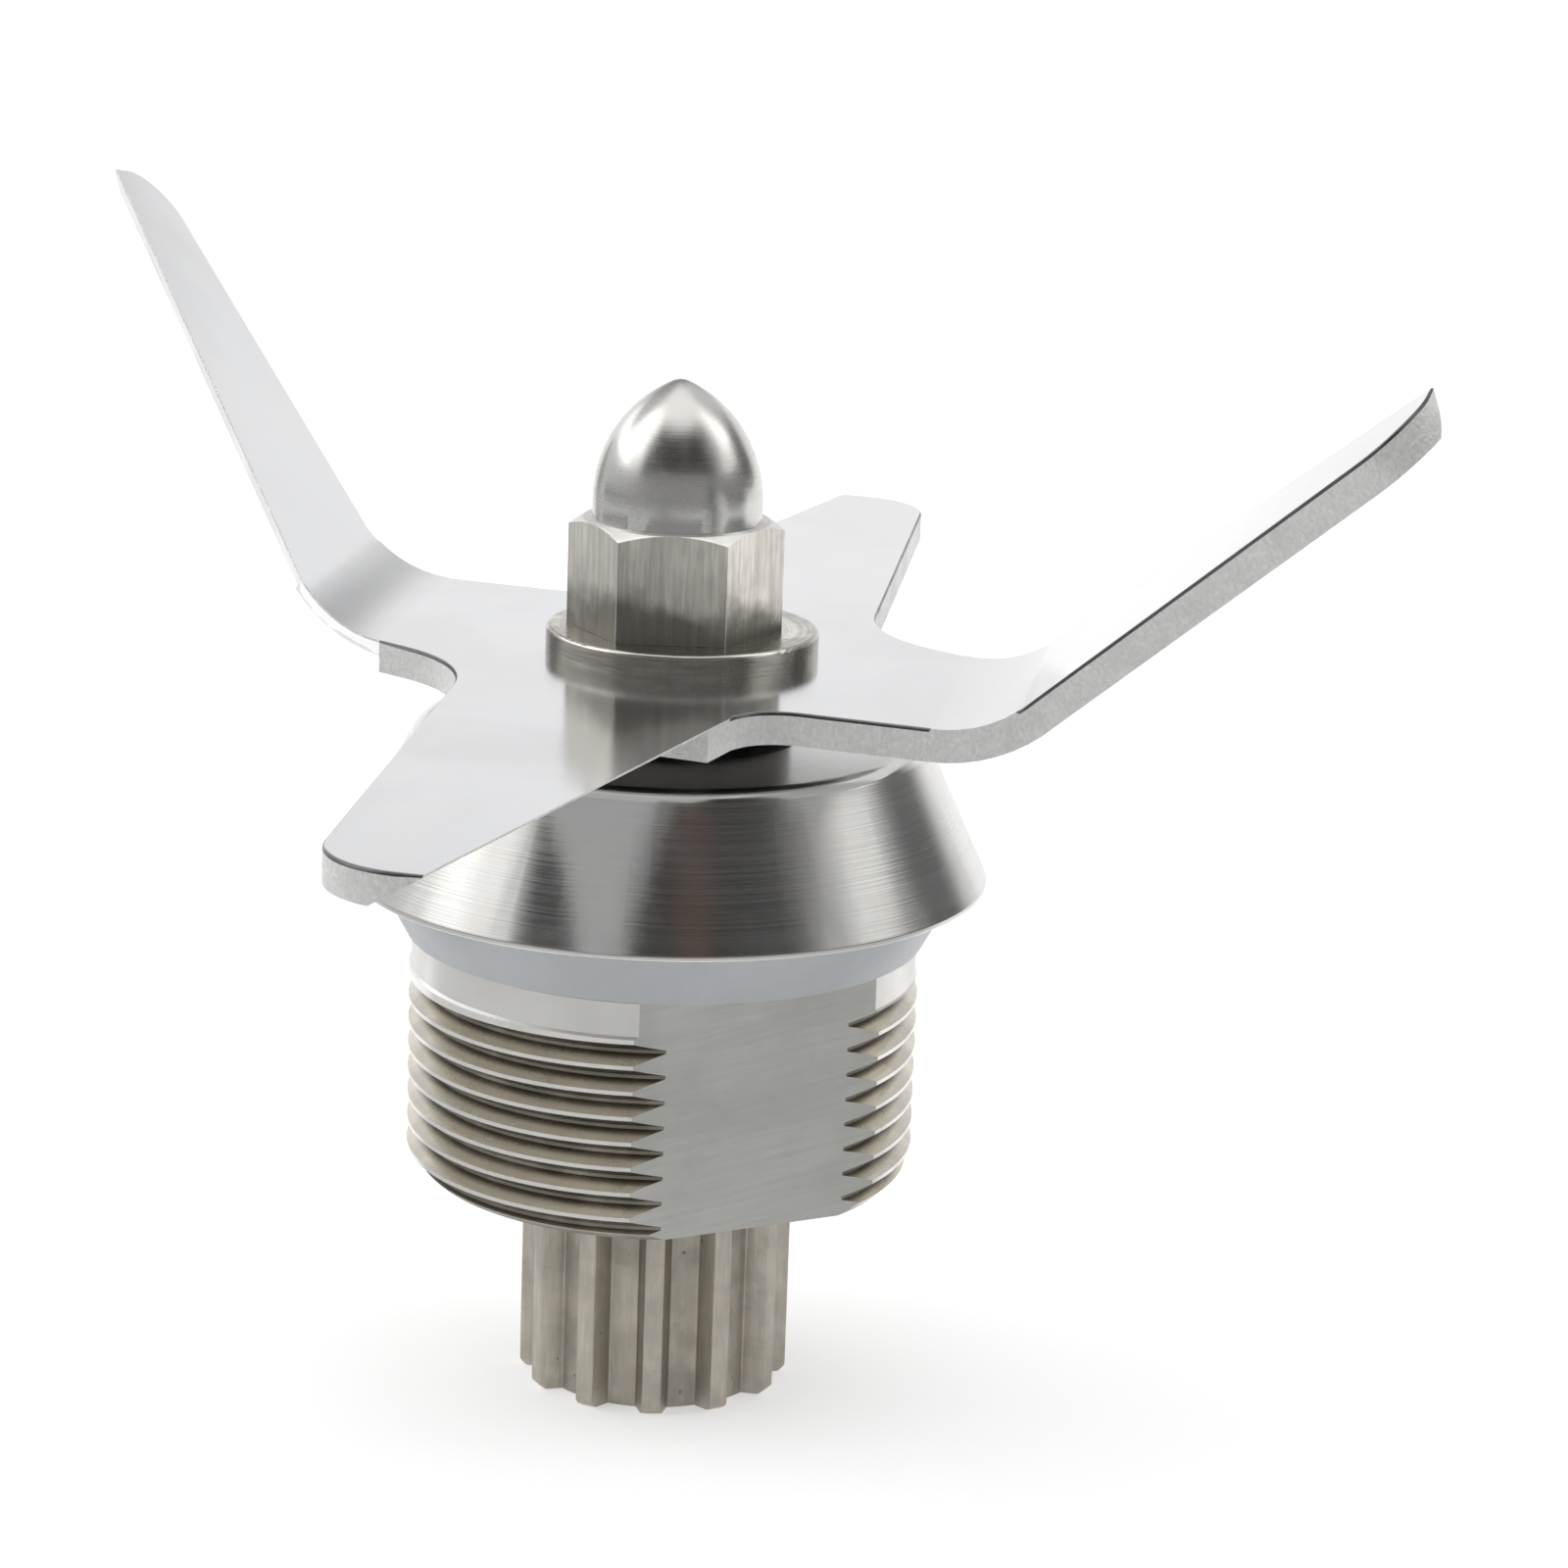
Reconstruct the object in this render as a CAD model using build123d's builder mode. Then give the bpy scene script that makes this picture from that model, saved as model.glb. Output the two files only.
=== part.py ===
"""Blade assembly for a jug blender: a threaded bearing housing with a four-armed blade.

Millimetres, +Z up. The origin is on the spin axis, at the lower end of the drive gear.
Leading means the side of a blade arm that cuts, which is counterclockwise seen from above.
"""
import os
from math import atan, cos, degrees, pi, radians, sin, sqrt, tan

from build123d import *

os.makedirs("parts", exist_ok=True)

# Fits between pieces, and how far a cut runs past the stock
press_clearance = 0.01
slip_clearance = 0.03
running_clearance = 0.05
cut_margin = 1.0

# Drive gear under the housing
gear_height = 12.8
gear_teeth = 12
gear_tip_radius = 8.0
gear_tooth_depth = 1.25
gear_tip_width = 1.1
gear_root_width = 2.2
gear_edge_chamfer = 0.35
gear_boss_radius = 5.8
shaft_end_recess = 1.2

# Shaft
shaft_radius = 4.0
shaft_chamfer = 0.5
drive_flat_distance = 3.55
drive_flat_recess = 0.12
stud_radius = 3.5
stud_length = 8.0

# Ball bearings, 8 x 22 x 7
bearing_radius = 11.0
bearing_width = 7.0
bearing_bottom = 16.6
bearing_spacing = 4.0
ball_radius = 1.984
ball_count = 7
race_play = 0.02
inner_ring_wall = 2.07
outer_ring_wall = 2.0
ring_chamfer = 0.3
shield_thickness = 0.35
shield_seat_depth = 0.6
shield_gap = 0.2
cage_wall = 1.4
cage_web = 0.45
cage_rise = 0.7
pocket_play = 0.08
spacer_wall = 1.4

# Retaining ring and shim under the lower bearing
retainer_thickness = 1.0
retainer_width = 1.5
retainer_lug_radius = 1.5
retainer_lug_angle = 8.0
retainer_gap_angle = 26.0
retainer_hole_radius = 0.6
groove_depth = 0.6
groove_play = 0.1
shim_thickness = 0.6
shim_width = 1.7

# Housing
body_radius = 15.0
body_bottom = 13.3
body_flat_distance = 12.87
body_flat_angle = -65.0
body_chamfer = 1.0
flange_radius = 18.75
flange_bottom = 31.1
flange_rim_height = 0.35
flange_rim_round = 0.27
cone_top_radius = 14.85
cone_top_round = 0.35
housing_top = 39.8
bore_entry_chamfer = 0.5

# Jar thread on the two rounded sides of the body, and the plain neck above it.
# The top groove meets the front flat at the start angle and height.
thread_pitch = 1.5
thread_root_radius = 14.08
thread_root_width = 0.2
thread_flank_angle = 30.0
thread_start_angle = -88.0
thread_start_height = 24.57
neck_bottom = 25.4
neck_depth = 0.15

# Gasket under the flange
gasket_height = 3.45
gasket_top_width = 2.07
gasket_lip = 0.2

# Lip seal in the top of the housing and the sleeve that it runs on
seal_outer_radius = 8.0
seal_height = 3.6
seal_case_wall = 0.9
seal_floor = 0.9
seal_lip_wall = 0.7
seal_lip_height = 2.6
sleeve_wall = 1.0
web_gap = 1.0
garter_wire_radius = 0.35

# Hub spacer between the sleeve and the blade
hub_radius = 7.0
hub_height = 2.5
hub_gap = 0.3
hub_chamfer = 0.3

# Blade sheet
blade_thickness = 1.85
bevel_width = 2.8
edge_land = 0.12
bevel_overrun = 8.0

# Flat blade arms
flat_arm_angle = 74.1
flat_arm_reach = 50.45
flat_lead_root = 9.8
flat_lead_tip = 2.5
flat_trail_root = 10.8
flat_trail_tip = 3.4
flat_tip_round = 5.2
flat_bevel_start = 18.0

# Bent blade arms, measured from the fold line along and across the arm
fold_angle = 170.3
fold_distance = 20.0
fold_slope = 45.3
fold_radius = 8.0
fold_steps = 6
bent_lead_root = 13.8
bent_lead_at_fold = 1.15
bent_trail_root = 11.9
bent_trail_before_fold = 15.0
bent_trail_after_fold = 17.0
bent_tip_rise = 31.5
bent_tip_sweep = 28.8
bent_tip_drop = 1.3
bent_tip_width = 5.9
bent_tip_round = 3.0

# Rounded notches between the arms
wide_notch_radius = 10.0
narrow_notch_radius = 3.0

# Washer and cap nut
washer_radius = 7.9
washer_bore_radius = 4.2
washer_thickness = 1.35
washer_shift = 0.5
washer_edge_round = 0.25
nut_across_flats = 10.8
nut_height = 6.3
nut_chamfer_angle = 30.0
nut_turn = -2.0
dome_radius = 4.9
dome_straight = 1.1
dome_arc_radius = 7.6
dome_tip_round = 1.2

# Heights worked out from the stack of pieces
spacer_bottom = bearing_bottom + bearing_width
upper_bearing_bottom = spacer_bottom + bearing_spacing
bearing_top = upper_bearing_bottom + bearing_width
seal_bottom = housing_top - seal_height
hub_bottom = housing_top + hub_gap
blade_bottom = hub_bottom + hub_height
blade_top = blade_bottom + blade_thickness
nut_bottom = blade_top + washer_thickness
gasket_bottom = flange_bottom - gasket_height
bore_radius = bearing_radius + press_clearance
ball_circle_radius = (shaft_radius + bearing_radius) / 2
inner_ring_radius = shaft_radius + slip_clearance + inner_ring_wall
outer_ring_bore = bearing_radius - outer_ring_wall
sleeve_radius = shaft_radius + sleeve_wall

STANDING = (Align.CENTER, Align.CENTER, Align.MIN)


def disc(radius, bottom, height, mode=Mode.ADD):
    """Adds or cuts a plain disc about the spin axis in the current part."""
    with Locations((0, 0, bottom)):
        Cylinder(radius, height, align=STANDING, mode=mode)


def ring(inner_radius, outer_radius, bottom, height):
    """Adds a plain ring about the spin axis to the current part."""
    disc(outer_radius, bottom, height)
    disc(inner_radius, bottom, height, mode=Mode.SUBTRACT)


# Drive gear: twelve square teeth and a boss that carries the lower bearing
gear_root_radius = gear_tip_radius - gear_tooth_depth
tooth_foot = gear_root_radius - gear_tooth_depth / 2
with BuildPart() as drive_gear:
    with BuildSketch():
        Circle(gear_root_radius)
        with PolarLocations(0, gear_teeth, start_angle=-90):
            Polygon(
                (tooth_foot, -gear_root_width / 2),
                (gear_tip_radius, -gear_tip_width / 2),
                (gear_tip_radius, gear_tip_width / 2),
                (tooth_foot, gear_root_width / 2),
                align=None,
            )
        Circle(gear_tip_radius, mode=Mode.INTERSECT)
    extrude(amount=gear_height)
    disc(gear_boss_radius, gear_height, bearing_bottom - gear_height)
    with BuildSketch(Plane.XZ):
        Polygon(
            (gear_tip_radius - gear_edge_chamfer, 0),
            (gear_tip_radius + cut_margin, gear_edge_chamfer + cut_margin),
            (gear_tip_radius + cut_margin, -cut_margin),
            (gear_tip_radius - gear_edge_chamfer, -cut_margin),
            align=None,
        )
    revolve(axis=Axis.Z, mode=Mode.SUBTRACT)
    disc(shaft_radius + press_clearance, 0, bearing_bottom, mode=Mode.SUBTRACT)
drive_gear.part.label = "drive_gear"
export_step(drive_gear.part, "parts/drive_gear.step")

# Shaft: journal for both bearings, two drive flats under the nut and a stud for the nut
flats_top = blade_top - drive_flat_recess
with BuildPart() as drive_shaft:
    disc(shaft_radius, shaft_end_recess, hub_bottom - shaft_end_recess)
    chamfer(drive_shaft.faces().sort_by(Axis.Z)[0].edges(), shaft_chamfer)
    with BuildSketch(Plane.XY.offset(hub_bottom)):
        Circle(shaft_radius)
        Rectangle(2 * shaft_radius, 2 * drive_flat_distance, mode=Mode.INTERSECT)
    extrude(amount=flats_top - hub_bottom)
    disc(stud_radius, flats_top, nut_bottom + stud_length - flats_top)
    chamfer(drive_shaft.faces().sort_by(Axis.Z)[-1].edges(), shaft_chamfer)
drive_shaft.part.label = "drive_shaft"
export_step(drive_shaft.part, "parts/drive_shaft.step")


def bearing(name, bottom):
    """Makes one deep-groove ball bearing, each piece in a node of its own."""
    middle = bottom + bearing_width / 2
    top = bottom + bearing_width
    groove_radius = ball_radius + race_play
    shield_seat_radius = outer_ring_bore + shield_seat_depth

    with BuildPart() as outer_ring:
        ring(outer_ring_bore, bearing_radius, bottom, bearing_width)
        chamfer(outer_ring.edges().filter_by(GeomType.CIRCLE).group_by(SortBy.RADIUS)[-1], ring_chamfer)
        for recess_bottom in (bottom, top - shield_seat_depth):
            disc(shield_seat_radius, recess_bottom, shield_seat_depth, mode=Mode.SUBTRACT)
        with BuildSketch(Plane.XZ):
            with Locations((ball_circle_radius, middle)):
                Circle(groove_radius)
        revolve(axis=Axis.Z, mode=Mode.SUBTRACT)

    with BuildPart() as inner_ring:
        ring(shaft_radius + slip_clearance, inner_ring_radius, bottom, bearing_width)
        chamfer(inner_ring.edges().filter_by(GeomType.CIRCLE).group_by(SortBy.RADIUS)[0], ring_chamfer)
        with BuildSketch(Plane.XZ):
            with Locations((ball_circle_radius, middle)):
                Circle(groove_radius)
        revolve(axis=Axis.Z, mode=Mode.SUBTRACT)

    with BuildPart() as balls:
        with Locations((0, 0, middle)):
            with PolarLocations(ball_circle_radius, ball_count):
                Sphere(ball_radius)

    cage_bottom = middle - ball_radius - cage_web
    with BuildPart() as cage:
        ring(
            ball_circle_radius - cage_wall / 2,
            ball_circle_radius + cage_wall / 2,
            cage_bottom,
            middle + cage_rise - cage_bottom,
        )
        with Locations((0, 0, middle)):
            with PolarLocations(ball_circle_radius, ball_count):
                Sphere(ball_radius + pocket_play, mode=Mode.SUBTRACT)

    pieces = {"outer_ring": outer_ring, "inner_ring": inner_ring, "balls": balls, "cage": cage}
    shield_bottoms = {
        "bottom_shield": bottom + shield_seat_depth - shield_thickness,
        "top_shield": top - shield_seat_depth,
    }
    for shield_name, shield_bottom in shield_bottoms.items():
        with BuildPart() as shield:
            ring(inner_ring_radius + shield_gap, shield_seat_radius, shield_bottom, shield_thickness)
        pieces[shield_name] = shield

    for piece_name, piece in pieces.items():
        piece.part.label = f"{name}_{piece_name}"
        export_step(piece.part, f"parts/{name}_{piece_name}.step")


bearing("lower_bearing", bearing_bottom)
bearing("upper_bearing", upper_bearing_bottom)


# Spacers that set the two bearings apart
with BuildPart() as bearing_outer_spacer:
    ring(bearing_radius - spacer_wall, bearing_radius, spacer_bottom, bearing_spacing)
bearing_outer_spacer.part.label = "bearing_outer_spacer"
export_step(bearing_outer_spacer.part, "parts/bearing_outer_spacer.step")

with BuildPart() as bearing_inner_spacer:
    ring(shaft_radius + slip_clearance, shaft_radius + spacer_wall, spacer_bottom, bearing_spacing)
bearing_inner_spacer.part.label = "bearing_inner_spacer"
export_step(bearing_inner_spacer.part, "parts/bearing_inner_spacer.step")

# Shim and retaining ring that hold the bearings up against the shoulder
shim_bottom = bearing_bottom - shim_thickness
retainer_bottom = shim_bottom - retainer_thickness
groove_radius = bore_radius + groove_depth
with BuildPart() as bearing_shim:
    ring(bearing_radius - shim_width, bearing_radius - slip_clearance, shim_bottom, shim_thickness)
bearing_shim.part.label = "bearing_shim"
export_step(bearing_shim.part, "parts/bearing_shim.step")

retainer_outer = groove_radius - slip_clearance
retainer_inner = retainer_outer - retainer_width
lug_angle = retainer_gap_angle / 2 + retainer_lug_angle
with BuildPart() as retaining_ring:
    with BuildSketch(Plane.XY.offset(retainer_bottom)):
        Circle(retainer_outer)
        Circle(retainer_inner, mode=Mode.SUBTRACT)
        with BuildLine():
            gap_left = PolarLine((0, 0), 2 * retainer_outer, retainer_gap_angle / 2)
            gap_right = PolarLine((0, 0), 2 * retainer_outer, -retainer_gap_angle / 2)
            Line(gap_left @ 1, gap_right @ 1)
        make_face(mode=Mode.SUBTRACT)
        with PolarLocations(retainer_inner, 2, start_angle=-lug_angle, angular_range=4 * lug_angle):
            Circle(retainer_lug_radius)
            Circle(retainer_hole_radius, mode=Mode.SUBTRACT)
    extrude(amount=retainer_thickness)
retaining_ring.part.label = "retaining_ring"
export_step(retaining_ring.part, "parts/retaining_ring.step")

# Sleeve on the shaft that the lip seal runs on
with BuildPart() as seal_sleeve:
    ring(shaft_radius + slip_clearance, sleeve_radius, bearing_top, hub_bottom - bearing_top)
seal_sleeve.part.label = "seal_sleeve"
export_step(seal_sleeve.part, "parts/seal_sleeve.step")

# Lip seal: a case, a floor and a lip that leans on the sleeve, with its garter spring
seal_top = seal_bottom + seal_height
lip_outer = sleeve_radius + running_clearance + seal_lip_wall
with BuildPart() as shaft_seal:
    with BuildSketch(Plane.XZ):
        Polygon(
            (seal_outer_radius, seal_bottom),
            (seal_outer_radius, seal_top),
            (sleeve_radius + 2 * seal_lip_wall, seal_top),
            (sleeve_radius + running_clearance, seal_top - seal_floor / 2),
            (sleeve_radius + seal_lip_wall / 2, seal_top - seal_floor),
            (sleeve_radius + running_clearance, seal_top - seal_lip_height),
            (lip_outer, seal_top - seal_lip_height),
            (lip_outer, seal_top - seal_floor),
            (seal_outer_radius - seal_case_wall, seal_top - seal_floor),
            (seal_outer_radius - seal_case_wall, seal_bottom),
            align=None,
        )
    revolve(axis=Axis.Z)
shaft_seal.part.label = "shaft_seal"
export_step(shaft_seal.part, "parts/shaft_seal.step")

garter_height = seal_top - seal_lip_height + garter_wire_radius
with BuildPart() as seal_garter_spring:
    with Locations((0, 0, garter_height)):
        Torus(lip_outer + garter_wire_radius, garter_wire_radius)
seal_garter_spring.part.label = "seal_garter_spring"
export_step(seal_garter_spring.part, "parts/seal_garter_spring.step")

# Jar thread: one groove is half a ring, and tilting it by the lead makes it climb to the right
thread_reach = body_radius + cut_margin
thread_flare = (thread_reach - thread_root_radius) * tan(radians(thread_flank_angle))
thread_lead_angle = degrees(atan(thread_pitch / (2 * pi * body_radius)))
thread_turns = int((thread_start_height - body_bottom) / thread_pitch) + 1
with BuildPart() as thread_groove:
    with BuildSketch(Plane.XZ):
        Polygon(
            (thread_root_radius, -thread_root_width / 2),
            (thread_reach, -thread_root_width / 2 - thread_flare),
            (thread_reach, thread_root_width / 2 + thread_flare),
            (thread_root_radius, thread_root_width / 2),
            align=None,
        )
    revolve(axis=Axis.Z, revolution_arc=180)

# Bearing housing: cone flange and threaded body turned from one bar, bored from below
rim_top = flange_bottom + flange_rim_height
neck_radius = body_radius - neck_depth
with BuildPart() as bearing_housing:
    with BuildSketch(Plane.XZ) as housing_section:
        Polygon(
            (0, body_bottom),
            (body_radius - body_chamfer, body_bottom),
            (body_radius, body_bottom + body_chamfer),
            (body_radius, neck_bottom),
            (neck_radius, neck_bottom + neck_depth),
            (neck_radius, gasket_bottom - neck_depth),
            (body_radius, gasket_bottom),
            (body_radius, flange_bottom),
            (flange_radius, flange_bottom),
            (flange_radius, rim_top),
            (cone_top_radius, housing_top),
            (0, housing_top),
            align=None,
        )
        rim_corners = housing_section.vertices().group_by(Axis.X)[-1]
        fillet(rim_corners, flange_rim_round)
        cone_corner = housing_section.vertices().group_by(Axis.Y)[-1].sort_by(Axis.X)[-1]
        fillet(cone_corner, cone_top_round)
    revolve(axis=Axis.Z)
    with BuildSketch(Plane.XY.offset(body_bottom)):
        with PolarLocations(body_flat_distance + body_radius, 2, start_angle=body_flat_angle):
            Rectangle(2 * body_radius, 2 * body_radius)
    extrude(amount=gasket_bottom - body_bottom, mode=Mode.SUBTRACT)
    for side_angle in (body_flat_angle - 90, body_flat_angle + 90):
        side_height = thread_start_height + thread_pitch * (side_angle - thread_start_angle) / 360
        for turn in range(thread_turns):
            place = Pos(0, 0, side_height - turn * thread_pitch) * Rot(0, 0, side_angle - 90)
            add(place * Rot(0, thread_lead_angle, 0) * thread_groove.part, mode=Mode.SUBTRACT)
    disc(bore_radius, body_bottom, bearing_top - body_bottom, mode=Mode.SUBTRACT)
    groove_bottom = retainer_bottom - groove_play
    disc(groove_radius, groove_bottom, retainer_thickness + groove_play, mode=Mode.SUBTRACT)
    disc(sleeve_radius + web_gap, bearing_top, seal_bottom - bearing_top, mode=Mode.SUBTRACT)
    disc(seal_outer_radius + press_clearance, seal_bottom, seal_height, mode=Mode.SUBTRACT)
    bottom_rims = bearing_housing.edges().filter_by(GeomType.CIRCLE).group_by(Axis.Z)[0]
    chamfer(bottom_rims.sort_by(SortBy.RADIUS)[0], bore_entry_chamfer)
bearing_housing.part.label = "bearing_housing"
export_step(bearing_housing.part, "parts/bearing_housing.step")

# White gasket under the flange
gasket_bore = body_radius + slip_clearance
with BuildPart() as jar_gasket:
    with BuildSketch(Plane.XZ) as gasket_section:
        Polygon(
            (gasket_bore, gasket_bottom),
            (gasket_bore + gasket_lip, gasket_bottom),
            (gasket_bore + gasket_top_width, flange_bottom),
            (gasket_bore, flange_bottom),
            align=None,
        )
    revolve(axis=Axis.Z)
jar_gasket.part.label = "jar_gasket"
export_step(jar_gasket.part, "parts/jar_gasket.step")

# Hub spacer that carries the blade
with BuildPart() as blade_hub:
    ring(shaft_radius + slip_clearance, hub_radius, hub_bottom, hub_height)
    chamfer(blade_hub.edges().filter_by(GeomType.CIRCLE).group_by(SortBy.RADIUS)[-1], hub_chamfer)
blade_hub.part.label = "blade_hub"
export_step(blade_hub.part, "parts/blade_hub.step")

# Blade: one sheet with two flat arms and two arms bent up along slanted fold lines.
# Every leading edge is ground from below to a thin edge at the level of the top face.


def line_value(x, start, end):
    """Gives y at x on the line through two (x, y) points."""
    return start[1] + (end[1] - start[1]) * (x - start[0]) / (end[0] - start[0])


def bevel_cut(start, direction, upward, length):
    """Gives the stock ground off below a straight leading edge, from its start along its length."""
    with BuildSketch(Plane(origin=start, x_dir=direction.cross(upward), z_dir=direction)) as stock:
        Polygon(
            (-bevel_width, edge_land),
            (0, edge_land),
            (bevel_width, blade_thickness),
            (bevel_width, 2 * blade_thickness),
            (-bevel_width, 2 * blade_thickness),
            align=None,
        )
    return extrude(stock.sketch, amount=length, mode=Mode.PRIVATE)


# Flat arm outline, with X along the arm and the leading side on plus Y
lead_root = (0, flat_lead_root)
lead_tip = (flat_arm_reach, flat_lead_tip)
with BuildSketch() as flat_arm:
    Polygon(lead_root, lead_tip, (flat_arm_reach, -flat_trail_tip), (0, -flat_trail_root), align=None)
    fillet(flat_arm.vertices().group_by(Axis.X)[-1].sort_by(Axis.Y)[0], flat_tip_round)

# Root of a bent arm, with X towards its fold line and the leading side on plus Y
fold_tangent = fold_radius * tan(radians(fold_slope / 2))
fold_start = fold_distance - fold_tangent
fold_end = fold_distance + fold_tangent
lead_before = line_value(fold_start, (0, bent_lead_root), (fold_distance, bent_lead_at_fold))
lead_after = line_value(fold_end, (0, bent_lead_root), (fold_distance, bent_lead_at_fold))
with BuildSketch() as bent_arm_root:
    Polygon(
        (0, bent_lead_root),
        (fold_start, lead_before),
        (fold_start, -bent_trail_before_fold),
        (0, -bent_trail_root),
        align=None,
    )

# The fold itself: sections of the sheet, turned step by step about the fold
fold_frame = Plane.XY.rotated((0, 0, fold_angle)).offset(blade_top)
outward = fold_frame.x_dir
across = fold_frame.y_dir
upward = fold_frame.z_dir
root_bevel = bevel_width * sqrt(1 + ((lead_after - lead_before) / (fold_end - fold_start)) ** 2)
with BuildPart() as fold:
    for step in range(fold_steps + 1):
        share = step / fold_steps
        turn = radians(fold_slope) * share
        lead = lead_before + (lead_after - lead_before) * share
        trail = -bent_trail_before_fold - (bent_trail_after_fold - bent_trail_before_fold) * share
        along = fold_start + fold_radius * sin(turn)
        lift = fold_radius * (1 - cos(turn))
        section_plane = Plane(
            origin=fold_frame.from_local_coords((along, 0, lift)),
            x_dir=across,
            z_dir=outward * cos(turn) + upward * sin(turn),
        )
        with BuildSketch(section_plane):
            Polygon(
                (lead, 0),
                (lead, -edge_land),
                (lead - root_bevel, -blade_thickness),
                (trail, -blade_thickness),
                (trail, 0),
                align=None,
            )
    loft()

# The straight outer part of a bent arm, drawn on its own slope with the fold line at X = 0
slope_frame = Plane(
    origin=fold_frame.from_local_coords((fold_distance, 0, 0)),
    x_dir=outward * cos(radians(fold_slope)) + upward * sin(radians(fold_slope)),
    z_dir=upward * cos(radians(fold_slope)) - outward * sin(radians(fold_slope)),
)
outer_lead = Vector(fold_tangent, lead_after)
outer_lead_tip = Vector(bent_tip_rise, -bent_tip_sweep)
outer_trail = Vector(fold_tangent, -bent_trail_after_fold)
outer_trail_tip = outer_lead_tip - Vector(bent_tip_drop, bent_tip_width)
with BuildPart() as outer_arm:
    with BuildSketch(slope_frame) as outer_outline:
        Polygon(outer_lead, outer_lead_tip, outer_trail_tip, outer_trail, align=None)
        fillet(outer_outline.vertices().sort_by(Axis.Y)[0], bent_tip_round)
    extrude(amount=-blade_thickness)
    edge_run = outer_lead_tip - outer_lead
    edge_direction = (slope_frame.x_dir * edge_run.X + slope_frame.y_dir * edge_run.Y).normalized()
    edge_start = slope_frame.from_local_coords(outer_lead) - edge_direction * bevel_overrun
    edge_length = edge_run.length + 2 * bevel_overrun
    add(bevel_cut(edge_start, edge_direction, slope_frame.z_dir, edge_length), mode=Mode.SUBTRACT)

# Whole blade: the flat sheet with its notches rounded, ground edges, and a bent arm on each side
with BuildPart() as blade:
    with BuildSketch(Plane.XY.offset(blade_top)) as blank:
        with PolarLocations(0, 2, start_angle=flat_arm_angle):
            add(flat_arm.sketch)
        with PolarLocations(0, 2, start_angle=fold_angle):
            add(bent_arm_root.sketch)
        notches = blank.vertices().sort_by_distance((0, 0, 0))[:4]
        fillet([notch for notch in notches if abs(notch.X) > abs(notch.Y)], wide_notch_radius)
        narrow_side = blank.vertices().filter_by(lambda corner: abs(corner.X) < abs(corner.Y))
        fillet(narrow_side.sort_by_distance((0, 0, 0))[:2], narrow_notch_radius)
        Circle(shaft_radius + slip_clearance, mode=Mode.SUBTRACT)
    extrude(amount=-blade_thickness)
    with BuildSketch(Plane.XY.offset(blade_top)):
        with GridLocations(0, 2 * drive_flat_distance + shaft_radius + slip_clearance * 2, 1, 2):
            Rectangle(2 * shaft_radius, shaft_radius)
    extrude(amount=-blade_thickness)
    flat_edge = Vector(*lead_tip) - Vector(*lead_root)
    for side in (0, 180):
        arm_frame = Plane.XY.rotated((0, 0, flat_arm_angle + side)).offset(blade_top)
        direction = (arm_frame.x_dir * flat_edge.X + arm_frame.y_dir * flat_edge.Y).normalized()
        start_y = line_value(flat_bevel_start, lead_root, lead_tip)
        start = arm_frame.from_local_coords((flat_bevel_start, start_y, 0))
        add(bevel_cut(start, direction, upward, flat_arm_reach), mode=Mode.SUBTRACT)
    with PolarLocations(0, 2):
        add(fold.part)
        add(outer_arm.part)
blade.part.label = "blade"
export_step(blade.part, "parts/blade.step")

# Plain washer, lying a little off centre on its stud
with BuildPart() as nut_washer:
    with BuildSketch(Plane.XY.offset(blade_top)):
        with Locations((washer_shift, 0)):
            Circle(washer_radius)
            Circle(washer_bore_radius, mode=Mode.SUBTRACT)
    extrude(amount=washer_thickness)
    fillet(nut_washer.faces().sort_by(Axis.Z)[-1].outer_wire().edges(), washer_edge_round)
nut_washer.part.label = "nut_washer"
export_step(nut_washer.part, "parts/nut_washer.step")

# Cap nut: a hexagon with turned corners and a slightly pointed dome over a blind thread
nut_corner_radius = nut_across_flats / sqrt(3)
corner_drop = (nut_corner_radius - nut_across_flats / 2) * tan(radians(nut_chamfer_angle))
nut_top = nut_bottom + nut_height
dome_shoulder = nut_top + dome_straight
arc_centre = Vector(dome_radius - dome_arc_radius, dome_shoulder)
tip_centre_rise = sqrt((dome_arc_radius - dome_tip_round) ** 2 - arc_centre.X**2)
tip_centre = Vector(0, dome_shoulder + tip_centre_rise)
dome_peak = tip_centre.Y + dome_tip_round
tip_join = arc_centre + (tip_centre - arc_centre).normalized() * dome_arc_radius
with BuildPart() as cap_nut:
    with BuildSketch(Plane.XY.offset(nut_bottom)):
        RegularPolygon(nut_across_flats / 2, 6, major_radius=False, rotation=nut_turn)
    extrude(amount=nut_height)
    with BuildSketch(Plane.XZ):
        Polygon(
            (nut_across_flats / 2, nut_top),
            (nut_corner_radius, nut_top - corner_drop),
            (nut_corner_radius + cut_margin, nut_top - corner_drop),
            (nut_corner_radius + cut_margin, nut_top + cut_margin),
            (nut_across_flats / 2, nut_top + cut_margin),
            align=None,
        )
    revolve(axis=Axis.Z, mode=Mode.SUBTRACT)
    with BuildSketch(Plane.XZ):
        with BuildLine():
            Polyline(
                (0, dome_peak), (0, nut_bottom), (dome_radius, nut_bottom), (dome_radius, dome_shoulder)
            )
            RadiusArc((dome_radius, dome_shoulder), tip_join, -dome_arc_radius)
            RadiusArc(tip_join, (0, dome_peak), -dome_tip_round)
        make_face()
    revolve(axis=Axis.Z)
    disc(stud_radius + slip_clearance, nut_bottom, stud_length + slip_clearance, mode=Mode.SUBTRACT)
cap_nut.part.label = "cap_nut"
export_step(cap_nut.part, "parts/cap_nut.step")
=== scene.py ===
import math

import bmesh
import bpy
from mathutils import Matrix, Vector


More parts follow.
